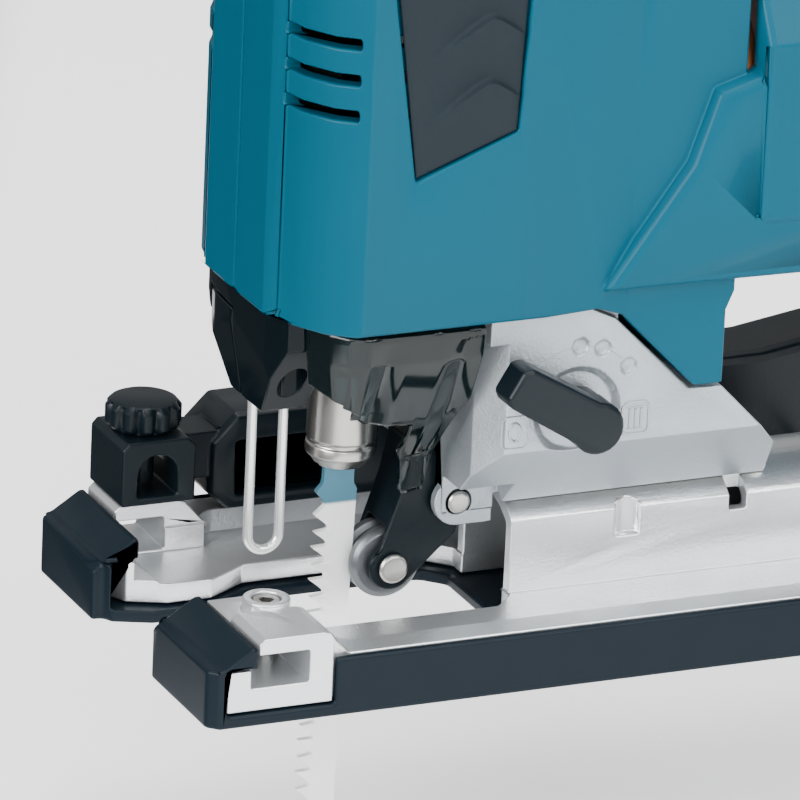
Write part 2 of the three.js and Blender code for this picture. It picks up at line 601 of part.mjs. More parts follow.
function buildRoller() {
  const groove = ROLLER_R - 1.2;
  const inner = ROLLER_PIN_R + 0.06;
  const profile = [[inner, -ROLLER_HALF], [ROLLER_R - 0.4, -ROLLER_HALF], [ROLLER_R, -ROLLER_HALF + 0.4],
    [ROLLER_R, -1.3],
    [groove, -1], [groove, 1], [ROLLER_R, 1.3], [ROLLER_R, ROLLER_HALF - 0.4], [ROLLER_R - 0.4,
      ROLLER_HALF],
    [inner, ROLLER_HALF], [inner, -ROLLER_HALF]];
  add('guide_roller', turned(profile, [ROLLER_X, 0, ROLLER_Z], Y, 32), STEEL);
  const head = 2.8;
  const pin = turned([[0, 0], [head - 0.4, 0], [head, 0.4], [head, 1], [ROLLER_PIN_R, 1], [ROLLER_PIN_R,
    13],
    [head, 13], [head, 13.6], [head - 0.4, 14], [0, 14]], [ROLLER_X, -7, ROLLER_Z], Y, 20);
  add('roller_pin', pin, STEEL);
  const fork = alongY(outline([{ arc: [ROLLER_X, ROLLER_Z, 4.4, -140, 60] }, [LINK_X + 9.5, 27],
    [LINK_X + 8, 35],
    [LINK_X + 4.6, 36], [LINK_X + 2, 30], { arc: [LINK_X, LINK_Z, 4.3, 60, 240] }, [LINK_X - 1, 17]]),
    -ARM_HALF + 0.35, ARM_HALF - 0.35, { curve: 8 });
  add('roller_arm', cut(fork, rod(ROLLER_R + 0.6, [ROLLER_X, -ROLLER_HALF - 0.4, ROLLER_Z], Y,
    2 * ROLLER_HALF + 0.8, 28),
    rod(ROLLER_PIN_R + 0.3, [ROLLER_X, -9, ROLLER_Z], Y, 18, 16), rod(2.5, [LINK_X, -9, LINK_Z], Y, 18,
      16)), BLACK);
}
buildRoller();

function buildLever() {
  const arm = outline([{ arc: [0, 0, 4.9, 60, 300] }, [LEVER_REACH - 1.5, -4], [LEVER_REACH, -2.8],
    [LEVER_REACH, 2.8], [LEVER_REACH - 1.5, 4]]);
  const low = CAST_HALF + 2.6;
  const plate = prism(arm, -low - 7, -low, { round: 0.8, segments: 2, curve: 8 });
  plate.rotateZ(THREE.MathUtils.degToRad(LEVER_REST)).applyMatrix4(ALONG_Y).translate(LEVER_X, 0, LEVER_Z);
  const hub = rod(4.7, [LEVER_X, CAST_HALF - 1, LEVER_Z], Y, 5, 24);
  const shaft = rod(LEVER_SHAFT_R, [LEVER_X, CAST_HALF - 8.5, LEVER_Z], Y, 10, 20);
  add('orbit_lever', join(solid(plate), hub, shaft), BLACK);
}
buildLever();

const FRONT_HALF = 18;            // half width of the black front shell
const WIRE_R = 0.9;
const WIRE_FRONT = 56.2;
const WIRE_REAR = 50.2;
const WIRE_LOW = 15;
const OPENER_PIVOT = [56.3, -12];
const LAMP_X = 54;
const LAMP_Y = 12;
const LAMP_R = 2.2;

function buildCovers() {
  const wall = 1.7;
  const half = 28.1;
  const side = outline([[24, HEAD_BOTTOM + 1], [24, 60], [26.5, 46], [27.5, 29], [31.5, 29], [34, 44],
    [43, 45], [55, 54],
    [56.5, 60], [56.5, HEAD_BOTTOM + 1]]);
  const profile = (inset) => [[half - inset, 68], [half - inset, 59], [20.5 - inset, 45], [13.5 - inset,
    36],
    [12 - inset, 27]];
  const section = [...profile(0), ...profile(wall).toReversed()];
  const leftWall = alongX(outline(section), 20, 60);
  const rightWall = alongX(outline(section.map(([y, z]) => [-y, z])), 20, 60);
  const walls = join(leftWall, rightWall).intersect(alongY(side, -30, 30));
  const inset = HOUSING_WALL + 0.6;
  const front = cut(alongZ(headPlan(inset), 50, 66), alongZ(headPlan(inset + wall), 40, 70))
    .intersect(block(50, 70, -30, 30, 56, 66));
  const corners = cut(front, block(40, 80, -FRONT_HALF - GAP, FRONT_HALF + GAP, 40, 80));
  const band = block(46.6, 48.2, -half + 0.5, half - 0.5, 61, 65.6);
  add('dust_cover', join(walls.intersect(alongZ(headPlan(inset), 20, 70)), corners, band), SMOKE);

  const podSide = outline([[59.6, 65.6], [60, 60], [57.6, 45], [49, 45], [49, 65.6]]);
  const podFront = outline([[FRONT_HALF, 65.6], [FRONT_HALF, 60], [7, 45], [-7, 45], [-FRONT_HALF, 60],
    [-FRONT_HALF, 65.6]]);
  const pod = alongY(podSide, -FRONT_HALF, FRONT_HALF).intersect(alongX(podFront, 45, 65))
    .intersect(alongZ(headPlan(0.8), 40, 70));
  const [px, py] = OPENER_PIVOT;
  const openerZone = block(40, 70, py - 3.6, -2.2, 40, 61.8);
  const openerPlan = join(alongZ(outline([[60.5, py], [60.5, py + 10], [48, py + 10], [48, py + 6],
    [53.5, py],
    [53.5, py - 1]]), 40, 61.4), rod(3.2, [px, py, 40], Z, 21.4, 24)).intersect(rod(9.4, [px, py, 40], Z,
      21.4, 48));
  add('blade_opener', pod.intersect(openerPlan), GLOSS);
  const wireHole = [WIRE_FRONT, WIRE_REAR].map((x) => rod(WIRE_R + 0.1, [x, 0, 40], Z, 16, 12));
  const lampHole = rod(LAMP_R + GAP, [LAMP_X, LAMP_Y, 40], Z, 30, 16);
  add('front_shell', cut(pod, openerZone, ...wireHole, lampHole), GLOSS);
  const bend = (WIRE_FRONT - WIRE_REAR) / 2;
  const low = WIRE_LOW + bend + WIRE_R;
  const around = new THREE.EllipseCurve(WIRE_REAR + bend, low, bend, bend, 0, -Math.PI, true).getPoints(10);
  const points = [new THREE.Vector3(WIRE_FRONT, 0, 55), new THREE.Vector3(WIRE_FRONT, 0, 40),
    ...around.map((p) => new THREE.Vector3(p.x, 0, p.y)), new THREE.Vector3(WIRE_REAR, 0, 40),
    new THREE.Vector3(WIRE_REAR, 0, 55)];
  const wire = new THREE.Shape();
  wire.absarc(0, 0, WIRE_R, 0, 2 * Math.PI);
  const curve = new THREE.CatmullRomCurve3(points, false, 'catmullrom', 0.1);
  add('wire_guard', solid(new THREE.ExtrudeGeometry(wire, { steps: 34, curveSegments: 4,
    extrudePath: curve })), BRIGHT);
}
buildCovers();

// ---- base ---------------------------------------------------------------------------------

const FAR_INNER = 9;              // the right prong reaches further in than the left one

function basePlan(inset, front) {
  const half = BASE_HALF - inset;
  const rear = BASE_REAR + inset;
  const near = GAP_HALF + inset;
  return outline([[rear + 6, -half], [front, -half], [front, -(FAR_INNER + inset) - 9], [front - 3,
    -(FAR_INNER + inset) - 3],
    [front - 10, -(FAR_INNER + inset)], [58, -(FAR_INNER + inset)], [50, -near], [SLOT_REAR + 4 - inset,
      -near],
    [SLOT_REAR - inset, -near + 4], [SLOT_REAR - inset, near - 4], [SLOT_REAR + 4 - inset, near],
      [front - 2, near],
    [front, near + 2], [front, half], [rear + 6, half], [rear, half - 6], [rear, 6 - half]]);
}

function buildBase() {
  const wallIn = BASE_HALF - COVER_WALL - GAP;
  const front = BASE_FRONT - COVER_WALL - GAP - 1.4;
  const plan = basePlan(COVER_WALL + GAP, front);
  const low = COVER_FLOOR + GAP;
  const slab = alongZ(plan, low, RIM_TOP);
  const blocks = [-1, 1].map((sign) => alongY(outline([[BLOCK_REAR - 5, RIM_TOP - 1], [BLOCK_REAR,
    BLOCK_TOP - 0.4],
    [BLOCK_REAR + 1.5, BLOCK_TOP], [CAP_BACK - 1.4, BLOCK_TOP], [CAP_BACK - GAP, BLOCK_TOP - 1],
      [CAP_BACK - GAP, RIM_TOP - 1]]),
    ...(sign > 0 ? [27, wallIn] : [-wallIn, -27])));
  const deck = block(BLOCK_REAR + 1, CAP_BACK - GAP, GAP_HALF + 0.5, 27.5, RIM_TOP - 1, DECK_TOP);
  const boss = rod(BOSS_R, [SCREW_X, SCREW_Y, FENCE_Z[1]], Z, BOSS_TOP - FENCE_Z[1], 24);
  const screwBore = rod(SCREW_THREAD_R + GAP, [SCREW_X, SCREW_Y, FENCE_Z[0]], Z, 12, 20);
  const sunk = (y0, y1) => alongZ(roundedBox(BASE_REAR + 10, BLOCK_REAR - 4, y0, y1, 4), FLOOR_TOP, 30);
  const inner = RIDGE_HALF;
  const floors = [
    sunk(inner, wallIn - RIM_WIDTH), sunk(-wallIn + RIM_WIDTH, -inner),
    block(SLOT_REAR - 6, BLOCK_REAR - 8, -30, 30, FLOOR_TOP, 30),
    block(BLOCK_REAR - 9, CAP_BACK - 3, -26.6, -5, FLOOR_TOP, 30),
  ];
  const ridge = alongX(outline([[RIDGE_HALF, FLOOR_TOP - 1], { arc: [0, TILT_Z, RIDGE_R, 45, 135] },
    [-RIDGE_HALF, FLOOR_TOP - 1]]), BASE_REAR + 4, SLOT_REAR - 0.2 - COVER_WALL - GAP, { curve: 12 });
  const tunnelHalf = RIDGE_HALF - RIDGE_WALL;
  const tunnel = alongX(outline([[tunnelHalf, 0], { arc: [0, TILT_Z, RIDGE_R - RIDGE_WALL, 49, 131] },
    [-tunnelHalf, 0]]),
    BASE_REAR + 8, SLOT_REAR + 8, { curve: 12 });
  const fence = block(...FENCE_X, -60, 60, ...FENCE_Z);
  const boltHole = rod(BOLT_R + 0.3, [BOLT_X, 0, 12], Z, 20, 16);
  const capSpace = block(CAP_BACK - GAP, 90, -60, 60, RIM_TOP - 0.6, 30);
  const notches = [rod(3, [BOLT_X - 0.5, 12.6, 15], Z, 12, 16), block(-37.2, -33.8, 7.5, 14, 17.5, 26)];
  const flankSide = outline([[BLOCK_REAR - 0.6, low], [BLOCK_REAR - 0.6, BLOCK_TOP - 1.4], [BLOCK_REAR,
    BLOCK_TOP - 0.4],
    [BLOCK_REAR + 1.5, BLOCK_TOP], [CAP_BACK - 1.4, BLOCK_TOP], [CAP_BACK - GAP, BLOCK_TOP - 1],
    [CAP_BACK - GAP, RIM_TOP - 0.6], [front, RIM_TOP - 0.6], [front, low]]);
  const flanks = [-1, 1].map((sign) => alongY(flankSide,
    ...(sign > 0 ? [wallIn - 1, BASE_HALF - 0.6] : [0.6 - BASE_HALF, 1 - wallIn])));
  const casting = join(cut(slab, ...floors), ...blocks, ridge, deck, boss).intersect(alongZ(plan, 0, 60));
  const body = cut(join(casting, ...flanks), tunnel, fence, screwBore, boltHole, capSpace, ...notches);
  add('base_plate', body, CAST);

  // cover plate: floor, side walls and the caps that wrap the prongs' front ends
  const outer = alongZ(basePlan(0, BASE_FRONT), 0, RIM_TOP);
  const well = alongZ(basePlan(COVER_WALL, front + GAP), COVER_FLOOR, 60);
  const lowered = block(BLOCK_REAR - 1, front + GAP, -60, 60, COVER_FLOOR, 30);
  const openEdge = block(SLOT_REAR - 6, CAP_BACK + 6, -27, 27, COVER_FLOOR, 30);
  const capSide = outline([[front + 0.2, 0], [BASE_FRONT, 0], [BASE_FRONT, 9.5], [CAP_BACK + 1, CAP_TOP],
    [CAP_BACK, CAP_TOP - 0.4], [CAP_BACK, RIM_TOP - 0.6 + GAP], [front + 0.2, RIM_TOP - 0.6 + GAP]]);
  const caps = alongY(capSide, -BASE_HALF, BASE_HALF);
  const capGap = block(60, 90, -GAP_HALF, GAP_HALF, -1, 40);
  const shell = cut(outer, well, lowered, openEdge);
  const key = rod(4.6, [BOLT_X, 0, -1], Z, 10, 16);
  const whole = join(shell, cut(caps, capGap));
  const corner = 3;
  const chamfer = [-1, 1].map((sign) => alongZ(outline([[BASE_FRONT - corner, sign * (BASE_HALF + 1)],
    [BASE_FRONT + 1, sign * (BASE_HALF + 1)], [BASE_FRONT + 1, sign * (BASE_HALF - corner)]]), -1, 40));
  add('cover_plate', cut(whole, key, ...chamfer), COVER);

  const fenceScrew = cut(rod(SCREW_THREAD_R, [SCREW_X, SCREW_Y, FENCE_Z[0] + GAP], Z,
    BOSS_TOP - FENCE_Z[0] - 0.8, 20),
    rod(1.4, [SCREW_X, SCREW_Y, BOSS_TOP - 3], Z, 5, 6));
  add('fence_screw', fenceScrew, STEEL);
  const headLow = TILT_Z + 7.6;
  const bolt = turned([[0, 0], [4, 0], [4, 4.2], [BOLT_R, 4.2], [BOLT_R, NUT_OUT - 7.6], [0,
    NUT_OUT - 7.6]],
    [BOLT_X, 0, headLow], Z, 20);
  add('base_bolt', cut(bolt, rod(2, [BOLT_X, 0, headLow - 1], Z, 3.4, 6)), STEEL);
  const nut = cut(sector(NUT_IN, NUT_OUT, 76, 104, BOLT_X - 5.5, BOLT_X + 5.5), rod(BOLT_R + 0.1,
    [BOLT_X, 0, 20], Z, 30, 20));
  add('base_nut', nut, STEEL);
  const saddle = cut(sector(SADDLE_IN, SADDLE_OUT, 60, 150, -42, 8),
    sector(SADDLE_IN - 2, SADDLE_OUT + 2, 76, 146.5, BOLT_X - BOLT_R - 0.5, BOLT_X + BOLT_R + 0.5));
  add('bevel_saddle', saddle, STEEL);
}
buildBase();

// ---- vacuum head on the tool's right ------------------------------------------------------

const DUCT_INNER = -29.5;
const DUCT_TOP = 30;
const KNOB_X = 63.2;
const KNOB_Y = -33.2;
const KNOB_R = 7;
const CLAMP_TOP = 28.5;

function buildVacuumHead() {
  const ductSide = outline([[51, 15], [51, 25], [46, DUCT_TOP], [-60, DUCT_TOP + 1], [-92, DUCT_TOP + 6],
    [-104, DUCT_TOP + 6], [-104, 14], [-84, 12], [-60, RIM_TOP + GAP], [47, RIM_TOP + GAP]]);
  const duct = alongY(ductSide, DUCT_INNER - 16, DUCT_INNER, { round: 2, segments: 2 });
  const spout = tube(8.6, 11, [-118, DUCT_INNER - 8, 24], X, 18, 28);
  const spoutFoot = rod(11, [-100, DUCT_INNER - 8, 24], X, 8, 28);
  const bore = alongY(outline([[47.6, 14.5], [47.6, 24], [46, 27.5], [-60, 28.5], [-90, 32], [-112, 32],
    [-112, 16.5], [-84, 14.5],
    [-60, 13.5]]), DUCT_INNER - 13.8, DUCT_INNER - 2.2, { round: 1, segments: 1 });
  const intake = block(28, 46, DUCT_INNER - 5, DUCT_INNER + 5, 14.5, 25);
  const clampBlock = alongY(outline([[55.8, BLOCK_TOP + GAP], [55.8, CLAMP_TOP - 1.5], [57.3, CLAMP_TOP],
    [69, CLAMP_TOP], [70.2, CLAMP_TOP - 1.2], [70.2, BLOCK_TOP + GAP]]), -41, -25.2);
  const arch = alongY(outline([[59.4, 17.8], [67, 17.8], { arc: [KNOB_X, 21.9, 3.8, 0, 180] }]), -60, -10);
  const neck = block(48, 58, -40, -31, 18, 27);
  const spoutBore = rod(8.6, [-120, DUCT_INNER - 8, 24], X, 22, 28);
  const screwHole = rod(2.6, [KNOB_X, KNOB_Y, 22], Z, 20, 16);
  add('dust_nozzle', cut(join(duct, spoutFoot, spout, clampBlock, neck), bore, intake, arch, spoutBore,
    screwHole), BLACK);
  const grooves = Array.from({ length: 12 }, (_, i) => {
    const [gx, gy] = polar(KNOB_R + 0.6, i * 30);
    return rod(1.1, [KNOB_X + gx, KNOB_Y + gy, CLAMP_TOP - 1], Z, 4.6, 8);
  });
  const knob = turned([[0, 0], [KNOB_R - 1, 0], [KNOB_R, 0.7], [KNOB_R, 4.4], [KNOB_R - 0.9, 5.4], [0,
    5.4]],
    [KNOB_X, KNOB_Y, CLAMP_TOP + GAP], Z, 36);
  const screw = rod(2.2, [KNOB_X, KNOB_Y, 18.4], Z, CLAMP_TOP - 16, 16);
  add('nozzle_knob', join(cut(knob, ...grooves), screw), BLACK);
}
buildVacuumHead();

// ---- handle controls and electrics --------------------------------------------------------

function buildControls() {
  const finger = alongY(outline([[-42.5, 178.5], [-42.5, 167], [-37, 162], [-30, 160.6], [-22, 160.8],
    [-16, 164], [-14.5, 168],
    [-14.5, 178.5]]), -TRIGGER_HALF, TRIGGER_HALF, { round: 1.4, segments: 2 });
  add('trigger', finger, RUBBER);
  add('switch_body', block(-46, -14, -11, 11, 185, 198.5), BLACK);
  const lock = turned([[0, 0], [3, 0], [3, 5], [LOCK_R, 5], [LOCK_R, 10], [LOCK_R - 0.8, 11], [0, 11]],
    [LOCK_X, HANDLE_HALF - 8.5, LOCK_Z], Y, 20);
  add('lock_button', lock, BLACK);
  const dial = alongY(placed(Array.from({ length: 48 }, (_, i) => polar(i % 2 ? DIAL_R : DIAL_R - 0.7,
    i * 7.5)), DIAL_X, DIAL_Z),
    -4.2, 4.2);
  add('speed_dial', cut(dial, rod(1.9, [DIAL_X, -5, DIAL_Z], Y, 10, 16)), RUBBER);
  add('dial_pin', rod(1.6, [DIAL_X, -HANDLE_HALF + 3.4, DIAL_Z], Y, 2 * HANDLE_HALF - 6.8, 16), STEEL);
  add('controller_board', block(-146, -74, -23, 23, 132.4, 136.6), BOARD);
  const lamp = turned([[0, 0], [LAMP_R, 0], [LAMP_R, 7.6], [LAMP_R * 0.7, 8.8], [0, 9.2]], [LAMP_X,
    LAMP_Y, 65], [0, 0, -1], 16);
  add('work_lamp', lamp, LENS);
}
buildControls();

function buildBattery() {
  const top = BATTERY_TOP;
  const plan = roundedBox(BATTERY_REAR, BATTERY_FRONT, -BATTERY_HALF, BATTERY_HALF, 7);
  const upper = alongZ(plan, BATTERY_SPLIT, top, { round: 1.4, segments: 2 });
  const rails = [-1, 1].map((sign) => block(-150, -72.5, Math.min(sign * 21, sign * 25.5),
    Math.max(sign * 21, sign * 25.5), top - 1, 127.6));
  const room = block(BATTERY_REAR + 3, BATTERY_FRONT - 3, -BATTERY_HALF + 3, BATTERY_HALF - 3,
    BATTERY_SPLIT - 1, top - 3);
  const contact = block(-82, -70, -14, 14, top - 6, top + 1);
  const latchWell = block(BATTERY_REAR - 1, BATTERY_REAR + 16, -13, 13, top - 8.4 - LATCH_PRESS - GAP,
    top + 5);
  const caseTop = cut(join(upper, ...rails), room, contact, latchWell);
  add('battery_case_top', caseTop, BLACK);
  const lower = alongZ(plan, BATTERY_LOW, BATTERY_SPLIT - GAP, { round: 2.5, segments: 2 });
  const sides = [-1, 1].map((sign) => block(BATTERY_REAR + 20, BATTERY_FRONT - 20,
    Math.min(sign * BATTERY_HALF, sign * (BATTERY_HALF - 1)) - (sign < 0 ? 1 : 0),
    Math.max(sign * BATTERY_HALF, sign * (BATTERY_HALF - 1)) + (sign > 0 ? 1 : 0), 78, 96));
  const lowerRoom = block(BATTERY_REAR + 3, BATTERY_FRONT - 3, -BATTERY_HALF + 3, BATTERY_HALF - 3,
    BATTERY_LOW + 3, BATTERY_SPLIT + 2);
  add('battery_case_bottom', cut(lower, ...sides, lowerRoom), BLACK);
  const cells = [];
  for (const row of [0, 1]) {
    for (let i = 0; i < 5; i += 1) {
      cells.push(rod(9.1, [BATTERY_FRONT - 13.5 - 21 * i, -32.5, BATTERY_LOW + 13 + 19.4 * row], Y, 65,
        10));
    }
  }
  const holder = block(BATTERY_REAR + 6, BATTERY_FRONT - 5, -5, 5, BATTERY_LOW + 4, BATTERY_SPLIT + 4);
  add('cell_block', join(holder, ...cells), LENS);
  const button = cut(alongY(outline([[BATTERY_REAR + 0.6, top - 8.4], [BATTERY_REAR + 15.4, top - 8.4],
    [BATTERY_REAR + 15.4, top + 1.4],
    [BATTERY_REAR + 12, top + 2.6], [BATTERY_REAR + 2, top - 1], [BATTERY_REAR + 0.6, top - 2]]), -12.4,
      12.4),
    block(BATTERY_REAR + 3, BATTERY_REAR + 12, -9, 9, top - 9, top - 5));
  add('battery_latch', button, RUBBER);
  add('battery_terminal', join(block(-80.5, -73, -12, 12, top + 0.6, FOOT_BOTTOM + 2.6), ...[-8, 0,
    8].map((y) =>
    block(-80, -73.5, y - 0.5, y + 0.5, top - 4.8, top + 1))), BLACK);
}
buildBattery();

export default tool;
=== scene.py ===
# %% [markdown]
# A cordless orbital jigsaw with a D handle. The CAD frame holds every part at its true size and place;
# this notebook gives the parts their finished surfaces: rounded moulded edges, turned pins, fluted
# guards, rubber with relief, and a procedural finish for each material. Everything is in metres, with
# +X forward, +Y the tool's left and +Z up. Sizes are written in millimetres and multiplied by MM.

# %% Load the frame
import json
import math
import bmesh
import bpy
import numpy as np
from mathutils import Matrix, Vector


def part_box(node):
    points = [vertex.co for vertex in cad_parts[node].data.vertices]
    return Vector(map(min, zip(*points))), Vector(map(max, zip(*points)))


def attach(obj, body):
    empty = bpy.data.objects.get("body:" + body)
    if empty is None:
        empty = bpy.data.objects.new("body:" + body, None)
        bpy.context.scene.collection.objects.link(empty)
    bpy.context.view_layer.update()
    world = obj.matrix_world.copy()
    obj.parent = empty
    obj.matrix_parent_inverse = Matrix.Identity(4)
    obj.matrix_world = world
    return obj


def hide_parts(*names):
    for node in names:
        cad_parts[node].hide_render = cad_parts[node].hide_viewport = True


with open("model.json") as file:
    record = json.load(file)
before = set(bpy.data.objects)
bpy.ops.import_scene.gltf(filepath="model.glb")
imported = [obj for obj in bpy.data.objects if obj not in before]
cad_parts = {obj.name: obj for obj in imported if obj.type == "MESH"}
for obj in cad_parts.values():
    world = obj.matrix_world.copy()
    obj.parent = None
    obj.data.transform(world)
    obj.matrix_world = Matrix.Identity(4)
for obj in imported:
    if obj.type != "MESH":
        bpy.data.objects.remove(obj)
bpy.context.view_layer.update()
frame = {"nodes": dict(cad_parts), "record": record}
MM = 0.001
BODY_OF = {node: body for body, nodes in frame["record"]["behaviour"]["bodies"].items() for node in nodes}
SLOT_OF = {part["node"]: part["material_slot"] for part in frame["record"]["subparts"]}

# %% [markdown]
# The camera looks at the blade side from the front left and a little above. The view has hardly any
# perspective, so a long lens stands far away. The camera's three axes are written out as unit
# vectors, because the tool is seen with a slight roll.

# %% Camera
VIEW_RIGHT = np.array([-0.9148, 0.4018, 0.0421])
VIEW_UP = np.array([-0.1034, -0.3338, 0.9370])
VIEW_CENTRE = np.array([27.5, 0.0, 41.5]) * MM
VIEW_WIDTH = 142.9 * MM
LENS = 400.0
SENSOR = 36.0

camera_data = bpy.data.cameras.new("view")
camera_data.lens = LENS
camera_data.sensor_width = SENSOR
camera_data.clip_end = 20.0
camera = bpy.data.objects.new("view", camera_data)
bpy.context.collection.objects.link(camera)
view_back = np.cross(VIEW_RIGHT, VIEW_UP)
place = np.eye(4)
place[:3, 0], place[:3, 1], place[:3, 2] = VIEW_RIGHT, VIEW_UP, view_back
place[:3, 3] = VIEW_CENTRE + view_back * VIEW_WIDTH / SENSOR * LENS
camera.matrix_world = Matrix(place.tolist())
bpy.context.scene.camera = camera
print("camera distance, m:", round(VIEW_WIDTH / SENSOR * LENS, 3))

# %% [markdown]
# The studio is a pale floor just under the blade's tip and four large soft lamps: one overhead that
# brightens every face that looks up, one beside the camera that lights the near side, one that the
# slanted side of the base's ridge mirrors, and one in front of the tool's nose, which puts the bright
# band on the nose's near corner.

# %% Floor and lights
FLOOR_Z = -48.6 * MM
FLOOR_HALF = 6.0
SKY_STRENGTH = 0.45
TOOL = (0.02, 0.0, 0.06)


def new_mesh(name, points, faces):
    """A mesh object from an array of points and a list of faces, at the origin."""
    mesh = bpy.data.meshes.new(name)
    corners = [tuple(point) for point in np.asarray(points, float)]
    mesh.from_pydata(corners, [], [tuple(int(i) for i in face) for face in faces])
    mesh.update()
    piece = bpy.data.objects.new(name, mesh)
    bpy.context.collection.objects.link(piece)
    return piece


def area_light(name, position, size, power):
    """A square soft lamp that looks from position at the tool; sizes in metres, power in watts."""
    data = bpy.data.lights.new(name, "AREA")
    data.shape = "SQUARE"
    data.size = size
    data.energy = power
    lamp = bpy.data.objects.new(name, data)
    bpy.context.collection.objects.link(lamp)
    lamp.location = position
    lamp.rotation_euler = (Vector(TOOL) - Vector(position)).to_track_quat("-Z", "Y").to_euler()
    return lamp


floor_corners = [(FLOOR_HALF * x, FLOOR_HALF * y, FLOOR_Z) for x, y in ((-1, -1), (1, -1), (1, 1), (-1, 1))]
floor = new_mesh("floor", floor_corners, [(0, 1, 2, 3)])
area_light("overhead", (-0.1, 0.1, 1.5), 1.3, 32.0)
area_light("near_side", (0.3, 1.5, 0.85), 0.9, 13.0)
area_light("ridge_side", (-0.7, 1.25, 1.0), 0.8, 16.0)
area_light("nose", (1.4, 0.55, 0.6), 0.9, 36.0)
world = bpy.data.worlds.new("studio")
world.use_nodes = True
sky = world.node_tree.nodes["Background"]
sky.inputs["Color"].default_value = (1, 1, 1, 1)
sky.inputs["Strength"].default_value = SKY_STRENGTH
bpy.context.scene.world = world
print("lamps:", len(bpy.data.lights))

# %% [markdown]
# Every finish shares two effects, so each is a node group with named inputs. "surface_grain" gives a
# fine bump and a roughness that varies a little, from noise on Object coordinates. "dust_and_wear"
# gives a mask that is strong on faces that look up and broken up by noise, which the finishes use to
# turn slightly paler. Both put out only values and normals; the shader stays in the material.

# %% Node groups
BUMP_HEIGHT = 0.2 * MM


def new_group(name, inputs, outputs):
    """A shader node group with float inputs {name: default} and outputs [(name, kind)]."""
    group = bpy.data.node_groups.new(name, "ShaderNodeTree")
    for title, value in inputs.items():
        socket = group.interface.new_socket(title, in_out="INPUT", socket_type="NodeSocketFloat")
        socket.default_value = value
    for title, kind in outputs:
        group.interface.new_socket(title, in_out="OUTPUT", socket_type=kind)
    return group, group.nodes.new("NodeGroupInput"), group.nodes.new("NodeGroupOutput")


def math_node(tree, operation, a, b=None, clamp=False):
    """A Math node whose inputs are sockets or numbers; its output socket is returned."""
    node = tree.nodes.new("ShaderNodeMath")
    node.operation = operation
    node.use_clamp = clamp
    for socket, value in zip(node.inputs, (a, b)):
        if isinstance(value, bpy.types.NodeSocket):
            tree.links.new(value, socket)
        elif value is not None:
            socket.default_value = value
    return node.outputs[0]


def noise(tree, scale, detail=2.0, roughness=0.5):
    """Noise on Object coordinates; scale may be a socket. Its Fac socket is returned."""
    coords = tree.nodes.new("ShaderNodeTexCoord")
    texture = tree.nodes.new("ShaderNodeTexNoise")
    texture.inputs["Detail"].default_value = detail
    texture.inputs["Roughness"].default_value = roughness
    if isinstance(scale, bpy.types.NodeSocket):
        tree.links.new(scale, texture.inputs["Scale"])
    else:
        texture.inputs["Scale"].default_value = scale
    tree.links.new(coords.outputs["Object"], texture.inputs["Vector"])
    return texture.outputs["Fac"]


def build_grain_group():
    """Roughness = base + spread x (slow noise - 1/2); normal = fine noise as a bump of the given depth."""
    inputs = {"Scale": 1500.0, "Depth": 0.1, "Roughness": 0.4, "Spread": 0.1}
    outputs = [("Roughness", "NodeSocketFloat"), ("Normal", "NodeSocketVector")]
    group, inside, outside = new_group("surface_grain", inputs, outputs)
    slow = math_node(group, "SUBTRACT", noise(group, 60.0, 3.0), 0.5)
    spread = math_node(group, "MULTIPLY", slow, inside.outputs["Spread"])
    roughness = math_node(group, "ADD", spread, inside.outputs["Roughness"], True)
    group.links.new(roughness, outside.inputs["Roughness"])
    fine = noise(group, inside.outputs["Scale"], 2.0, 0.6)
    bump = group.nodes.new("ShaderNodeBump")
    bump.inputs["Distance"].default_value = BUMP_HEIGHT
    group.links.new(inside.outputs["Depth"], bump.inputs["Strength"])
    group.links.new(fine, bump.inputs["Height"])
    group.links.new(bump.outputs["Normal"], outside.inputs["Normal"])
    return group


def build_wear_group():
    """Mask = amount x (noise above its middle, stretched to 0..1), stronger on faces that look up."""
    inputs = {"Amount": 0.1, "Scale": 90.0}
    group, inside, outside = new_group("dust_and_wear", inputs, [("Mask", "NodeSocketFloat")])
    patches = noise(group, inside.outputs["Scale"], 6.0, 0.65)
    spots = math_node(group, "MULTIPLY", math_node(group, "SUBTRACT", patches, 0.45, True), 3.0, True)
    geometry = group.nodes.new("ShaderNodeNewGeometry")
    split = group.nodes.new("ShaderNodeSeparateXYZ")
    group.links.new(geometry.outputs["Normal"], split.inputs["Vector"])
    up = math_node(group, "MULTIPLY_ADD", split.outputs["Z"], 0.5, True)
    up.node.inputs[2].default_value = 0.5
    mask = math_node(group, "MULTIPLY", spots, up)
    mask = math_node(group, "MULTIPLY", mask, inside.outputs["Amount"], True)
    group.links.new(mask, outside.inputs["Mask"])
    return group


GRAIN = build_grain_group()
WEAR = build_wear_group()
print("groups:", GRAIN.name, WEAR.name)
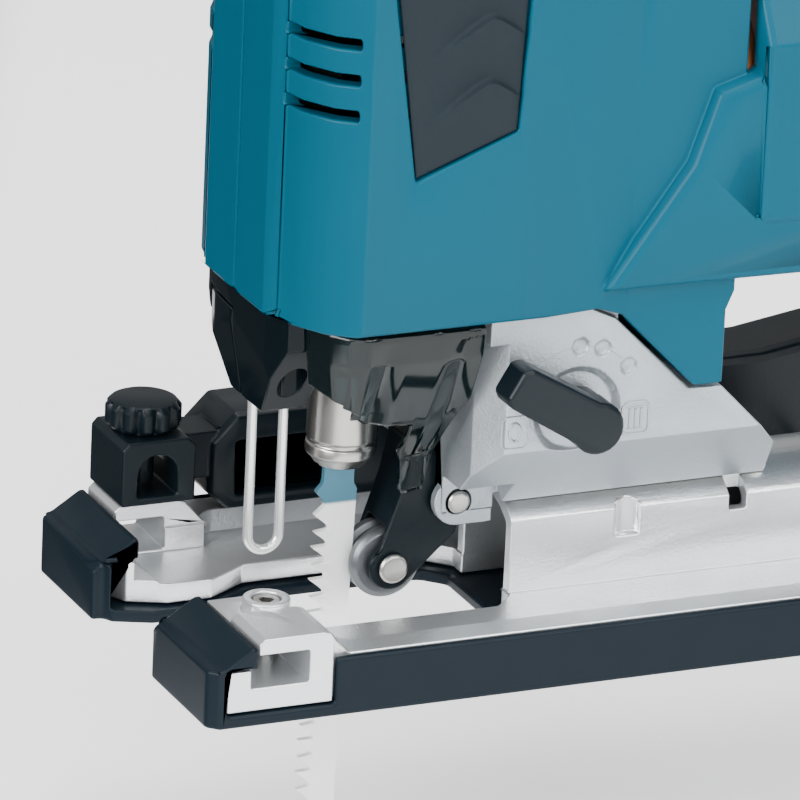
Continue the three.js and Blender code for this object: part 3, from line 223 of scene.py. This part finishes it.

# %% [markdown]
# A finish is one Principled shader. Its colour goes from the base tone to a slightly paler or darker
# one by the wear mask, and its roughness and normal come from the grain group. Numbers that are the
# same all over the surface are set straight on the shader. Two finishes also fade along a direction:
# the floor is painted dark beyond the left edge of the view, a painted shade that the glossy black parts
# reflect, which keeps them black, and the blade turns blue at the shank from the heat of hardening.

# %% Finishes


def finish(name, colour, worn, roughness, grain, depth, spread, wear, **settings):
    """Base and worn colour (linear), roughness, grain per metre, bump depth, roughness spread, wear."""
    material = bpy.data.materials.new(name)
    material.use_nodes = True
    tree = material.node_tree
    shader = tree.nodes["Principled BSDF"]
    for title, value in settings.items():
        shader.inputs[title.replace("_", " ")].default_value = value
    surface = tree.nodes.new("ShaderNodeGroup")
    surface.node_tree = GRAIN
    for title, value in (("Scale", grain), ("Depth", depth), ("Roughness", roughness), ("Spread", spread)):
        surface.inputs[title].default_value = value
    mask = tree.nodes.new("ShaderNodeGroup")
    mask.node_tree = WEAR
    mask.inputs["Amount"].default_value = wear
    mix = tree.nodes.new("ShaderNodeMix")
    mix.data_type = "RGBA"
    mix.inputs["A"].default_value = (*colour, 1)
    mix.inputs["B"].default_value = (*worn, 1)
    tree.links.new(mask.outputs["Mask"], mix.inputs["Factor"])
    tree.links.new(mix.outputs["Result"], shader.inputs["Base Color"])
    tree.links.new(surface.outputs["Roughness"], shader.inputs["Roughness"])
    tree.links.new(surface.outputs["Normal"], shader.inputs["Normal"])
    return material


FINISH = {
    "teal_shell": finish("teal_shell", (0.0, 0.070, 0.114), (0.0, 0.084, 0.132),
                         0.34, 1800, 0.06, 0.08, 0.25, Specular_IOR_Level=0.12),
    "soft_rubber": finish("soft_rubber", (0.009, 0.015, 0.020), (0.018, 0.025, 0.031),
                          0.6, 2600, 0.22, 0.12, 0.4, Specular_IOR_Level=0.15),
    "cover_black": finish("cover_black", (0.004, 0.009, 0.014), (0.009, 0.015, 0.020),
                          0.38, 1400, 0.1, 0.12, 0.4, Specular_IOR_Level=0.12),
    "black_plastic": finish("black_plastic", (0.003, 0.007, 0.010), (0.008, 0.012, 0.016),
                            0.34, 1400, 0.1, 0.12, 0.4, Specular_IOR_Level=0.2),
    "gloss_black": finish("gloss_black", (0.002, 0.005, 0.007), (0.005, 0.008, 0.010),
                          0.1, 600, 0.01, 0.03, 0.2, Specular_IOR_Level=0.12),
    "smoked_clear": finish("smoked_clear", (0.012, 0.028, 0.032), (0.025, 0.045, 0.05),
                           0.05, 300, 0.01, 0.03, 0.2, Transmission_Weight=0.8, IOR=1.4),
    "cast_metal": finish("cast_metal", (0.40, 0.44, 0.47), (0.56, 0.60, 0.62),
                         0.42, 1900, 0.6, 0.12, 0.8, Metallic=0.7),
    "steel": finish("steel", (0.46, 0.45, 0.43), (0.56, 0.55, 0.53),
                    0.3, 900, 0.08, 0.12, 0.4, Metallic=1.0),
    "bright_steel": finish("bright_steel", (0.86, 0.87, 0.88), (0.93, 0.93, 0.93),
                           0.26, 700, 0.04, 0.1, 0.4, Metallic=0.75),
    "blade_steel": finish("blade_steel", (0.93, 0.93, 0.92), (0.97, 0.97, 0.96),
                          0.36, 900, 0.1, 0.1, 0.4, Metallic=0.3),
    "dark_steel": finish("dark_steel", (0.13, 0.14, 0.15), (0.2, 0.21, 0.22),
                         0.36, 900, 0.08, 0.1, 0.4, Metallic=0.8),
    "base_metal": finish("base_metal", (0.74, 0.76, 0.78), (0.86, 0.88, 0.89),
                         0.33, 1500, 0.4, 0.12, 0.7, Metallic=0.85),
    "copper": finish("copper", (0.5, 0.19, 0.08), (0.6, 0.28, 0.14),
                     0.4, 900, 0.1, 0.1, 0.4, Metallic=1.0),
    "board": finish("board", (0.012, 0.11, 0.05), (0.02, 0.14, 0.07),
                    0.5, 900, 0.1, 0.1, 0.4),
    "cell_wrap": finish("cell_wrap", (0.2, 0.3, 0.25), (0.25, 0.34, 0.3),
                        0.45, 900, 0.05, 0.1, 0.3),
    "lamp_lens": finish("lamp_lens", (0.9, 0.92, 0.88), (0.95, 0.95, 0.92),
                        0.08, 300, 0.01, 0.02, 0.1, Transmission_Weight=0.8, IOR=1.45),
    "paper_floor": finish("paper_floor", (0.97, 0.97, 0.97), (0.95, 0.95, 0.95),
                          0.9, 40, 0.02, 0.05, 0.2, Emission_Strength=0.55, Emission_Color=(1, 1, 1, 1)),
}
floor.data.materials.append(FINISH["paper_floor"])


def fade_to(material, direction, near, far, tint, sockets=("Base Color",)):
    """Turns the colour to the tint as direction . position goes from near to far, in mm."""
    tree = material.node_tree
    shader = tree.nodes["Principled BSDF"]
    plain = shader.inputs["Base Color"].links[0].from_socket
    coords = tree.nodes.new("ShaderNodeTexCoord")
    along = tree.nodes.new("ShaderNodeVectorMath")
    along.operation = "DOT_PRODUCT"
    along.inputs[1].default_value = direction
    ramp = tree.nodes.new("ShaderNodeMapRange")
    ramp.interpolation_type = "SMOOTHSTEP"
    ramp.inputs["From Min"].default_value = near * MM
    ramp.inputs["From Max"].default_value = far * MM
    mix = tree.nodes.new("ShaderNodeMix")
    mix.data_type = "RGBA"
    mix.inputs["B"].default_value = (*tint, 1)
    tree.links.new(coords.outputs["Object"], along.inputs[0])
    tree.links.new(along.outputs["Value"], ramp.inputs["Value"])
    tree.links.new(ramp.outputs["Result"], mix.inputs["Factor"])
    tree.links.new(plain, mix.inputs["A"])
    for title in sockets:
        tree.links.new(mix.outputs["Result"], shader.inputs[title])


ACROSS_VIEW = (0.907, -0.42, 0.0)
DARK_FROM, DARK_TO = 112, 165
FLOOR_PAINTED_SHADE = (0.02, 0.02, 0.02)
HEAT_BLUE = (0.05, 0.17, 0.24)
HEAT_FROM, HEAT_TO = 23.0, 23.8
floor_sockets = ("Base Color", "Emission Color")
# The floor's colour and glow fade to dark beyond the left edge of the view: painted shade for the glossy
# black parts to reflect.
fade_to(FINISH["paper_floor"], ACROSS_VIEW, DARK_FROM, DARK_TO, FLOOR_PAINTED_SHADE, floor_sockets)
fade_to(FINISH["blade_steel"], (0, 0, 1), HEAT_FROM, HEAT_TO, HEAT_BLUE)
for title, node in frame["nodes"].items():
    node.data.materials.clear()
    node.data.materials.append(FINISH["base_metal" if title == "base_plate" else SLOT_OF[title]])
print("finishes:", len(FINISH))

# %% [markdown]
# Most casings are right in shape but have knife edges and flat facets. `softened` takes a copy of the
# part, merges its loose triangles, joins flat neighbours into one face, marks the edges that turn by
# more than a limit as sharp and bevels them, which is how a moulded or cast edge catches the light.
# The copy then stands for the part on the same body.

# %% Softened casings
SHARP = math.radians(28)
FLAT = math.radians(0.7)
MERGE = 0.02


def stand_in(piece, node):
    """The piece rides where the node rides, replaces it and takes its material slot."""
    slot = SLOT_OF[node]
    if not piece.data.materials:
        piece.data.materials.append(FINISH[slot])
    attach(piece, BODY_OF[node])
    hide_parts(node)


def softened(node, width):
    """Copy of a node: near points merged, coplanar faces dissolved, sharp edges bevelled by width mm."""
    mesh = frame["nodes"][node].data.copy()
    mesh.name = node + "_finished"
    work = bmesh.new()
    work.from_mesh(mesh)
    bmesh.ops.remove_doubles(work, verts=work.verts, dist=MERGE * MM)
    bmesh.ops.dissolve_limit(work, angle_limit=FLAT, verts=work.verts, edges=work.edges)
    work.to_mesh(mesh)
    work.free()
    mesh.shade_smooth()
    mesh.set_sharp_from_angle(angle=SHARP)
    piece = bpy.data.objects.new(node + "_finished", mesh)
    bpy.context.collection.objects.link(piece)
    bevel = piece.modifiers.new("edges", "BEVEL")
    bevel.width = width * MM
    bevel.segments = 2
    bevel.limit_method = "ANGLE"
    bevel.angle_limit = SHARP
    bevel.use_clamp_overlap = False
    bevel.harden_normals = True
    bevel.miter_outer = "MITER_ARC"
    stand_in(piece, node)


EDGE = {"housing_left": 0.5, "housing_right": 0.5, "handle_grip": 0.5,
        "gear_housing": 0.3, "base_plate": 0.35, "cover_plate": 0.7, "dust_nozzle": 0.5,
        "front_shell": 0.35, "blade_opener": 0.35, "clamp_sleeve": 0.2, "roller_arm": 0.5,
        "orbit_lever": 0.5, "trigger": 0.5, "lock_button": 0.3, "speed_dial": 0.2, "battery_case_top": 0.6,
        "battery_case_bottom": 0.8, "battery_latch": 0.4, "bevel_saddle": 0.2, "base_bolt": 0.2,
        "base_nut": 0.2, "fence_screw": 0.15, "plunger": 0.2, "plunger_guide": 0.3, "battery_terminal": 0.2}
for node, width in EDGE.items():
    softened(node, width)
print("softened:", len(EDGE), "parts")

# %% [markdown]
# Turned parts (pins, the guide roller, the knob) are one profile of radius against distance, carried
# round an axis. The whole grid of points is worked out at once: axis point plus radius times the unit
# circle. Where the radius is nought the ring shrinks to a point, and the doubles there are merged, so
# that the pole is closed.

# %% Surfaces from grids
DOUBLES = 0.001


def grid_faces(rows, columns, wrap):
    """Quads that join each point of a rows x columns grid to its neighbours; wrap closes the columns."""
    j = np.arange(columns if wrap else columns - 1)
    a, b = np.meshgrid(np.arange(rows - 1), j, indexing="ij")
    c, d = a + 1, (b + 1) % columns
    return np.stack([a * columns + b, c * columns + b, c * columns + d, a * columns + d], -1).reshape(-1, 4)


def grid_piece(name, points, wrap=True, caps=False):
    """A mesh from a rows x columns x 3 array in mm: doubles merged, normals outward, smooth to SHARP."""
    rows, columns = points.shape[:2]
    faces = [tuple(face) for face in grid_faces(rows, columns, wrap)]
    if caps:
        faces += [tuple(range(columns)), tuple(range((rows - 1) * columns, rows * columns))]
    piece = new_mesh(name, points.reshape(-1, 3) * MM, faces)
    work = bmesh.new()
    work.from_mesh(piece.data)
    bmesh.ops.remove_doubles(work, verts=work.verts, dist=DOUBLES * MM)
    bmesh.ops.recalc_face_normals(work, faces=work.faces)
    work.to_mesh(piece.data)
    work.free()
    piece.data.shade_smooth()
    piece.data.set_sharp_from_angle(angle=SHARP)
    return piece


def outward(sheet, direction):
    """Turns an open sheet's faces so that, on the whole, they look along direction."""
    normals = np.empty(len(sheet.data.polygons) * 3)
    sheet.data.polygons.foreach_get("normal", normals)
    if normals.reshape(-1, 3).mean(0) @ np.asarray(direction, float) < 0:
        sheet.data.flip_normals()
    return sheet


def thicken(sheet, thickness):
    """Gives an open sheet a wall on its inner side, in mm."""
    wall = sheet.modifiers.new("wall", "SOLIDIFY")
    wall.thickness = thickness * MM
    wall.offset = -1
    return sheet


def joined(name, pieces):
    """One mesh object from several, which are removed; their materials must be alike."""
    work = bmesh.new()
    for piece in pieces:
        work.from_mesh(piece.data)
        bpy.data.objects.remove(piece)
    mesh = bpy.data.meshes.new(name)
    work.to_mesh(mesh)
    work.free()
    mesh.set_sharp_from_angle(angle=SHARP)
    whole = bpy.data.objects.new(name, mesh)
    bpy.context.collection.objects.link(whole)
    return whole


def distance_along(corners):
    """Distance from the first point of a path to each of its points."""
    return np.concatenate([[0], np.cumsum(np.linalg.norm(np.diff(corners, axis=0), axis=1))])


def unit_frame(direction):
    """Three unit vectors: two across the direction and the direction itself."""
    along = np.asarray(direction, float) / np.linalg.norm(direction)
    across = np.cross(along, (0, 0, 1) if abs(along[2]) < 0.9 else (1, 0, 0))
    across /= np.linalg.norm(across)
    return across, np.cross(along, across), along


def turned(name, profile, start, direction, sides=64, flutes=0, flute_depth=0.0, flute_rows=()):
    """start + h x axis + r x (cos a, sin a); fluted rows lose depth x (1 + cos(flutes x a)) / 2, squared."""
    u, v, w = unit_frame(direction)
    r, h = np.asarray(profile, float).T
    angle = np.arange(sides) * 2 * np.pi / sides
    radius = np.repeat(r[:, None], sides, 1)
    dips = flute_depth * ((1 + np.cos(flutes * angle)) / 2) ** 2
    radius[list(flute_rows)] -= dips
    ring = np.cos(angle)[:, None] * u + np.sin(angle)[:, None] * v
    points = np.asarray(start, float) + h[:, None, None] * w + radius[:, :, None] * ring
    return grid_piece(name, points)


def rounded(profile, radius=0.3, steps=3):
    """Each inner corner q becomes the curve (1-t)^2 a + 2t(1-t) q + t^2 b, a and b on its two sides."""
    out = [profile[0]]
    for trio in zip(profile, profile[1:], profile[2:]):
        before, q, after = (np.asarray(point, float) for point in trio)
        back, ahead = np.linalg.norm(before - q), np.linalg.norm(after - q)
        a = q + (before - q) / back * min(radius, back * 0.45)
        b = q + (after - q) / ahead * min(radius, ahead * 0.45)
        for t in np.linspace(0, 1, steps + 1):
            out.append(tuple((1 - t) ** 2 * a + 2 * t * (1 - t) * q + t * t * b))
    return out + [profile[-1]]


def centre_of(node):
    """Middle of a node's box, in mm."""
    low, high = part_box(node)
    return (np.array(low) + np.array(high)) / 2 / MM


def size_of(node):
    """Edges of a node's box, in mm."""
    low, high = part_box(node)
    return (np.array(high) - np.array(low)) / MM


# %% [markdown]
# The guide roller is a ring with a groove that the blade's back runs in, and its profile is mirrored
# about the groove. The two pins are shanks with domed heads. The knob of the vacuum head has a head
# with twelve flutes on a plain shank.

# %% Guide roller, pins and knob
ROLLER_BORE_R = 1.96
ROLLER_CHAMFER = 0.9
GROOVE_DEPTH, GROOVE_FOOT, GROOVE_TOP = 1.2, 0.9, 1.3
roller_centre = centre_of("guide_roller")
roller_r = size_of("guide_roller")[2] / 2
roller_half = size_of("guide_roller")[1] / 2
roller_side = [(ROLLER_BORE_R, -roller_half), (roller_r - ROLLER_CHAMFER, -roller_half),
               (roller_r, -roller_half + ROLLER_CHAMFER), (roller_r, -GROOVE_TOP),
               (roller_r - GROOVE_DEPTH, -GROOVE_FOOT)]
roller_profile = rounded(roller_side + [(r, -y) for r, y in reversed(roller_side)], 0.25)
roller_ring = roller_profile + roller_profile[:1]
roller = turned("guide_roller_finished", roller_ring, roller_centre, (0, 1, 0), 96)
roller.data.materials.append(FINISH["dark_steel"])
stand_in(roller, "guide_roller")


def headed_pin(node, head_r, head_t, shank_r):
    """A pin across the tool: shank with a domed head at each end, along +Y through the node's middle."""
    middle, half = centre_of(node), size_of(node)[1] / 2
    dome = 0.5
    side = [(0, -half), (head_r - dome, -half), (head_r, -half + dome), (head_r, -half + head_t),
            (shank_r, -half + head_t)]
    profile = rounded(side + [(r, -y) for r, y in reversed(side)], 0.25)
    stand_in(turned(node + "_finished", profile, middle, (0, 1, 0), 48), node)


headed_pin("roller_pin", 2.8, 1.0, 1.9)
headed_pin("link_pin", 2.15, 0.7, 2.0)

knob_low, knob_high = (np.array(c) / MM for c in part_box("nozzle_knob"))
knob_r = (knob_high - knob_low)[0] / 2
knob_axis = [(knob_low[0] + knob_high[0]) / 2, (knob_low[1] + knob_high[1]) / 2, 0]
KNOB_HEAD = 5.4
KNOB_SHANK_R = 2.2
KNOB_FLUTES, FLUTE_DEPTH, FLUTED_ROWS = 12, 1.0, (4, 5, 6, 7)
knob_top = knob_high[2]
knob_foot = knob_top - KNOB_HEAD
knob_profile = [(0, knob_low[2]), (KNOB_SHANK_R, knob_low[2]), (KNOB_SHANK_R, knob_foot),
                (knob_r - 1.2, knob_foot), (knob_r - 0.3, knob_foot + 0.5), (knob_r, knob_foot + 1.0),
                (knob_r, knob_top - 1.3), (knob_r - 0.3, knob_top - 0.9), (knob_r - 0.9, knob_top - 0.3),
                (knob_r - 1.6, knob_top), (0, knob_top - 0.25)]
knob = turned("nozzle_knob_finished", knob_profile, knob_axis, (0, 0, 1), 192,
              KNOB_FLUTES, FLUTE_DEPTH, FLUTED_ROWS)
stand_in(knob, "nozzle_knob")
print("turned: roller r", round(roller_r, 2), "knob r", round(knob_r, 2))

# %% [markdown]
# The wire guard in front of the blade is one bent wire: down, round a half turn, and up again. It
# stays in the plane Y = 0, so the frame along it needs no twist: one side vector is always Y and the
# other is the cross product with the path's direction.

# %% Wire guard


def tube_in_plane(name, path, radius, sides, side=(0, 1, 0)):
    """path + radius x (cos a x side + sin a x up), where up is the path's direction crossed with side."""
    path = np.asarray(path, float)
    along = np.gradient(path, axis=0)
    along /= np.linalg.norm(along, axis=1)[:, None]
    up = np.cross(along, side)
    angle = np.arange(sides) * 2 * np.pi / sides
    cosine, sine = np.cos(angle)[None, :, None], np.sin(angle)[None, :, None]
    ring = cosine * np.asarray(side, float) + sine * up[:, None, :]
    return grid_piece(name, path[:, None, :] + radius * ring, caps=True)


wire_low, wire_high = (np.array(c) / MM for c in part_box("wire_guard"))
WIRE_R = (wire_high - wire_low)[1] / 2
bend = (wire_high[0] - wire_low[0]) / 2 - WIRE_R
bend_x, bend_z = (wire_high[0] + wire_low[0]) / 2, wire_low[2] + WIRE_R + bend
BEND_POINTS, LEG_POINTS = 33, 12
turn = np.linspace(0, -np.pi, BEND_POINTS)
bend_path = np.stack([bend_x + bend * np.cos(turn), np.zeros(BEND_POINTS), bend_z + bend * np.sin(turn)], 1)
straight = np.linspace(wire_high[2], bend_z, LEG_POINTS)
wire_path = np.concatenate([
    np.stack([np.full(LEG_POINTS, bend_x + bend), np.zeros(LEG_POINTS), straight], 1),
    bend_path[1:-1],
    np.stack([np.full(LEG_POINTS, bend_x - bend), np.zeros(LEG_POINTS), straight[::-1]], 1)])
stand_in(tube_in_plane("wire_guard_finished", wire_path, WIRE_R, 24), "wire_guard")
print("wire guard: radius", round(WIRE_R, 2), "bend", round(bend, 2))

# %% [markdown]
# The dust cover is a thin smoked moulding with a few broad folds. Its wall is a sheet of two
# parameters: u runs forward along the side and round the corner, v runs down. The wall leans in
# towards the blade as it goes down, its lower edge is a diagonal with a tongue behind it, and the
# folds grow from nothing at the top. Solidify gives the wall its thickness, and the same sheet
# mirrored makes the other side.

# %% Dust cover
COVER_TOP = 66.6
COVER_T = 1.5
SIDE_Y = 27.6
FOLD_TOP, FOLD_RUN = 63.5, 16.0
EASE_X, EASE_RUN, EASE_SHARE = 45.0, 7.0, 0.62
PLAN = np.array([(24.2, SIDE_Y), (46.0, SIDE_Y), (49.6, 26.4), (52.4, 23.6), (54.6, 18.5)])
lean_z = np.array([27.0, 36.0, 45.0, 59.0, 63.6, 64.4, 64.9, 66.6])
lean_in = np.array([15.6, 13.8, 7.0, 0.7, 0.0, 0.1, 0.7, 1.6])
edge_x = np.array([24.0, 26.0, 27.4, 32.2, 34.0, 43.0, 55.0, 57.0])
edge_z = np.array([50.0, 46.0, 28.6, 28.6, 44.6, 45.4, 54.0, 55.5])
FOLD_AT = np.array([0.0, 0.10, 0.2, 0.43, 0.52, 0.63, 0.74, 0.88, 1.0])
FOLD_IN = np.array([0.0, 1.5, 0.1, 0.3, 2.3, 0.2, 1.9, 0.3, 0.0])


def eased(values, reach):
    """Each value becomes the mean of those up to reach steps away; the ends are repeated."""
    padded = np.pad(values, reach, mode="edge")
    return np.convolve(padded, np.ones(2 * reach + 1) / (2 * reach + 1), "valid")


def cover_wall(side, across=150, down=48):
    """Plan path moved in by (lean_in(z) + growth(z) x folds(u)) x ease(x); z from the top to edge_z(x)."""
    length = distance_along(PLAN)
    u = np.linspace(0, length[-1], across)
    x, y = np.interp(u, length, PLAN[:, 0]), np.interp(u, length, PLAN[:, 1])
    tangent = np.stack([eased(np.gradient(k), 4) for k in (x, y)], 1)
    tangent /= np.linalg.norm(tangent, axis=1)[:, None]
    normal = np.stack([-tangent[:, 1], tangent[:, 0]], 1)
    v = np.linspace(0, 1, down)
    z = COVER_TOP + (np.interp(x, edge_x, edge_z) - COVER_TOP)[None, :] * v[:, None]
    inward = np.interp(z, lean_z, lean_in)
    folds = eased(np.interp(u / length[-1], FOLD_AT, FOLD_IN), 3)
    growth = np.clip((FOLD_TOP - z) / FOLD_RUN, 0, 1) ** 0.8
    ease = 1 - EASE_SHARE * np.clip((x - EASE_X) / EASE_RUN, 0, 1)
    shift = -(inward + growth * folds[None, :]) * ease[None, :]
    points = np.stack([x + shift * normal[:, 0], (y + shift * normal[:, 1]), z], -1)
    points[..., 1] *= side
    return outward(grid_piece("cover_wall", points, wrap=False), (0, side, 0))


cover = thicken(joined("dust_cover_finished", [cover_wall(1), cover_wall(-1)]), COVER_T)
stand_in(cover, "dust_cover")
print("dust cover:", len(cover.data.polygons), "faces")

# %% [markdown]
# The rubber inset on each side of the column is a slanted four-sided pad with two arrow-shaped ridges
# pressed into it. It is a height above a flat grid: the four corners set where each (s, t) lies, a
# soft step along each arrow line lifts the rubber below it, and the rim is rolled down to the shell.

# %% Side pads
pad_low, pad_high = (np.array(c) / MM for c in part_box("side_pad_left"))
PAD_SUNK = 0.4
PAD_WALL = 0.6
PAD_HEIGHT = 37.0
RIM_RISE, RIM_ROLL = 0.285, 0.9
ARROW_RISE, ARROW_UPPER, ARROW_LOWER = 1.3775, 0.3, 4.5
ARROWS = [(27.3, 122.8), (27.3, 111.2)]
ARROW_SLOPE, ARROW_ROUND, ARROW_LIFT, ARROW_SPREAD = 0.72, 2.4, 1.2, 8.5
pad_corners = np.array([(21.45, 101.75), (40.4, 94.6), (45.8, 134.75), (20.1, 134.75)])


def pad_surface(side, across=110, up=170):
    """y = shell face + rolled rim + soft steps along the arrow lines z = apex - slope x |dx|."""
    s, t = np.meshgrid(np.linspace(0, 1, across), np.linspace(0, 1, up))
    a, b, c, d = pad_corners
    spot = ((1 - s) * (1 - t))[..., None] * a + (s * (1 - t))[..., None] * b
    spot += (s * t)[..., None] * c + ((1 - s) * t)[..., None] * d
    x, z = spot[..., 0], spot[..., 1]
    wide = np.interp(z, (94, 134), (17, 25))
    rim = np.minimum(np.minimum(s, 1 - s) * wide, np.minimum(t, 1 - t) * PAD_HEIGHT)
    height = RIM_RISE * np.clip(rim / RIM_ROLL, 0, 1) ** 0.5
    for apex_x, apex_z in ARROWS:
        dx = x - apex_x
        below = apex_z + ARROW_LIFT - ARROW_SLOPE * np.sqrt(dx * dx + ARROW_ROUND) - z
        fade = np.exp(-(dx / ARROW_SPREAD) ** 4) * np.clip(rim / 2.0, 0, 1)
        step = np.where(below > 0, np.exp(-below / ARROW_LOWER), np.exp(below / ARROW_UPPER))
        height += ARROW_RISE * fade * step
    points = np.stack([x, side * (pad_high[1] - PAD_SUNK + height), z], -1)
    return thicken(outward(grid_piece("side_pad", points, wrap=False), (0, side, 0)), PAD_WALL)


for side, node in ((1, "side_pad_left"), (-1, "side_pad_right")):
    pad = pad_surface(side)
    pad.name = node + "_finished"
    stand_in(pad, node)
print("side pads:", np.round(pad_high - pad_low, 1))

# %% [markdown]
# Round the orbital lever the casting carries raised marks: a nought and three bars in small frames for
# the two end settings, and a fine line through the dimples. Each is a thin bead, half sunk in the
# face, that follows a path in the plane of that face.

# %% Setting marks
lever_x, lever_z = 4.8, 46.0
FACE_Y = 26.0
DIMPLE_RING_R = 12.3
NOUGHT_X, NOUGHT_Z = 16.9, 43.4
BARS_X, BARS_Z = -6.6, 43.6
FRAME_HALF = (2.6, 3.0)
FINE, THIN, LOW, BEAD, FULL = 0.1, 0.16, 0.2, 0.28, 0.3


def face_path(points_xz, closed=False):
    """Path in the casting's side face from x-z points, cut in steps of about 0.3 mm."""
    corners = np.asarray(points_xz, float)
    if closed:
        corners = np.vstack([corners, corners[:1]])
    length = distance_along(corners)
    u = np.linspace(0, length[-1], max(4, int(length[-1] / 0.3)))
    return np.stack([np.interp(u, length, corners[:, 0]), np.full(len(u), FACE_Y),
                     np.interp(u, length, corners[:, 1])], 1)


def framed(x, z, half_x, half_z, corner=0.8):
    """A frame with cut corners about (x, z)."""
    a, b = half_x - corner, half_z - corner
    return [(x - half_x, z - b), (x - half_x, z + b), (x - a, z + half_z), (x + a, z + half_z),
            (x + half_x, z + b), (x + half_x, z - b), (x + a, z - half_z), (x - a, z - half_z)]


def arc(x, z, radius_x, radius_z, angles):
    """Points (x + rx cos a, z + rz sin a)."""
    return np.stack([x + radius_x * np.cos(angles), z + radius_z * np.sin(angles)], 1)


full_turn = np.linspace(0, 2 * np.pi, 33)[:-1]
mark_paths = [(framed(NOUGHT_X, NOUGHT_Z, *FRAME_HALF), True, THIN),
              (arc(NOUGHT_X, NOUGHT_Z, 1.05, 1.7, full_turn), True, BEAD),
              (framed(BARS_X, BARS_Z, *FRAME_HALF), True, FULL)]
for shift in (-1.1, 0.0, 1.1):
    mark_paths.append(([(BARS_X + shift, BARS_Z - 1.7), (BARS_X + shift, BARS_Z + 1.8)], False, BEAD))
for rail_z in (BARS_Z - 2.0, BARS_Z + 2.1):
    mark_paths.append(([(BARS_X - 1.7, rail_z), (BARS_X + 1.7, rail_z)], False, LOW))
for start_angle, end_angle in ((47, 82), (99, 103), (119, 133)):
    angles = np.radians(np.linspace(start_angle, end_angle, 24))
    mark_paths.append((arc(lever_x, lever_z, DIMPLE_RING_R, DIMPLE_RING_R, angles), False, FINE))
marks = joined("setting_marks", [tube_in_plane("mark", face_path(path, closed), radius, 8)
                                 for path, closed, radius in mark_paths])
marks.data.materials.append(FINISH["cast_metal"])
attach(marks, "tool_body")
print("setting marks:", len(mark_paths), "beads")

# %% [markdown]
# The blade is a stamped strip, made level by level from the tip up to the shank with its two lugs. At
# each level the plate runs from the straight back to the tooth side. The teeth lean a little to left
# and right in turn, and their points look up, since the tool cuts on the way up.

# %% Saw blade
LEAN = math.radians(1.85)
BLADE_X, BLADE_TIP, BLADE_HALF_T = 40.0, -48.0, 0.62
BACK = -3.6
GULLET, POINT = 1.3, 4.0
TEETH_FROM = BLADE_TIP + 4.4
TEETH_TO = 23.4
TOOTH_PITCH = 3.1
TOOTH_SET = 0.3
SHANK_HALF = 2.9
SHANK_TOP = 43.4


def blade_levels():
    """(z, back x, tooth-side x, set) from the tip up; each tooth slopes out upward, then cuts back."""
    levels = [(BLADE_TIP, -0.6, -0.2, 0), (BLADE_TIP + 2.0, -2.6, 1.2, 0), (BLADE_TIP + 4.0, -3.5, 1.4, 0)]
    for i in range(int((TEETH_TO - TEETH_FROM) / TOOTH_PITCH)):
        low = TEETH_FROM + i * TOOTH_PITCH
        high = low + TOOTH_PITCH
        out = TOOTH_SET * (1 if i % 2 else -1)
        levels += [(low, BACK, GULLET, 0), (low + 0.5, BACK, GULLET + 0.05, 0),
                   (low + 1.6, BACK, 2.6, 0.5 * out), (high - 0.45, BACK, POINT, out),
                   (high - 0.3, BACK, POINT - 0.05, out)]
    levels += [(23.0, BACK, 2.3, 0), (24.2, BACK, 2.9, 0), (25.5, -3.65, 4.1, 0), (25.8, -3.7, 4.15, 0),
               (27.0, -3.0, 3.1, 0), (28.0, -SHANK_HALF, SHANK_HALF, 0),
               (SHANK_TOP, -SHANK_HALF, SHANK_HALF, 0)]
    return np.array(levels)


level = blade_levels()
across = np.linspace(0, 1, 6)
body_x = level[:, 1, None] + (level[:, 2] - level[:, 1])[:, None] * across
body_set = level[:, 3, None] * np.clip((across - 0.6) / 0.4, 0, 1)
body_z = np.repeat(level[:, :1], len(across), 1)
left = np.stack([body_x, body_set + BLADE_HALF_T, body_z], -1)
right = np.stack([body_x, body_set - BLADE_HALF_T, body_z], -1)[:, ::-1]
sine, cosine = math.sin(LEAN), math.cos(LEAN)
lean_back = np.array([[cosine, 0, -sine], [0, 1, 0], [sine, 0, cosine]])
blade_points = np.concatenate([left, right], 1) @ lean_back.T + (BLADE_X, 0, 0)
blade = grid_piece("saw_blade_finished", blade_points, caps=True)
blade.data.shade_flat()
blade.data.materials.append(FINISH["blade_steel"])
stand_in(blade, "saw_blade")
print("blade:", len(level), "levels")
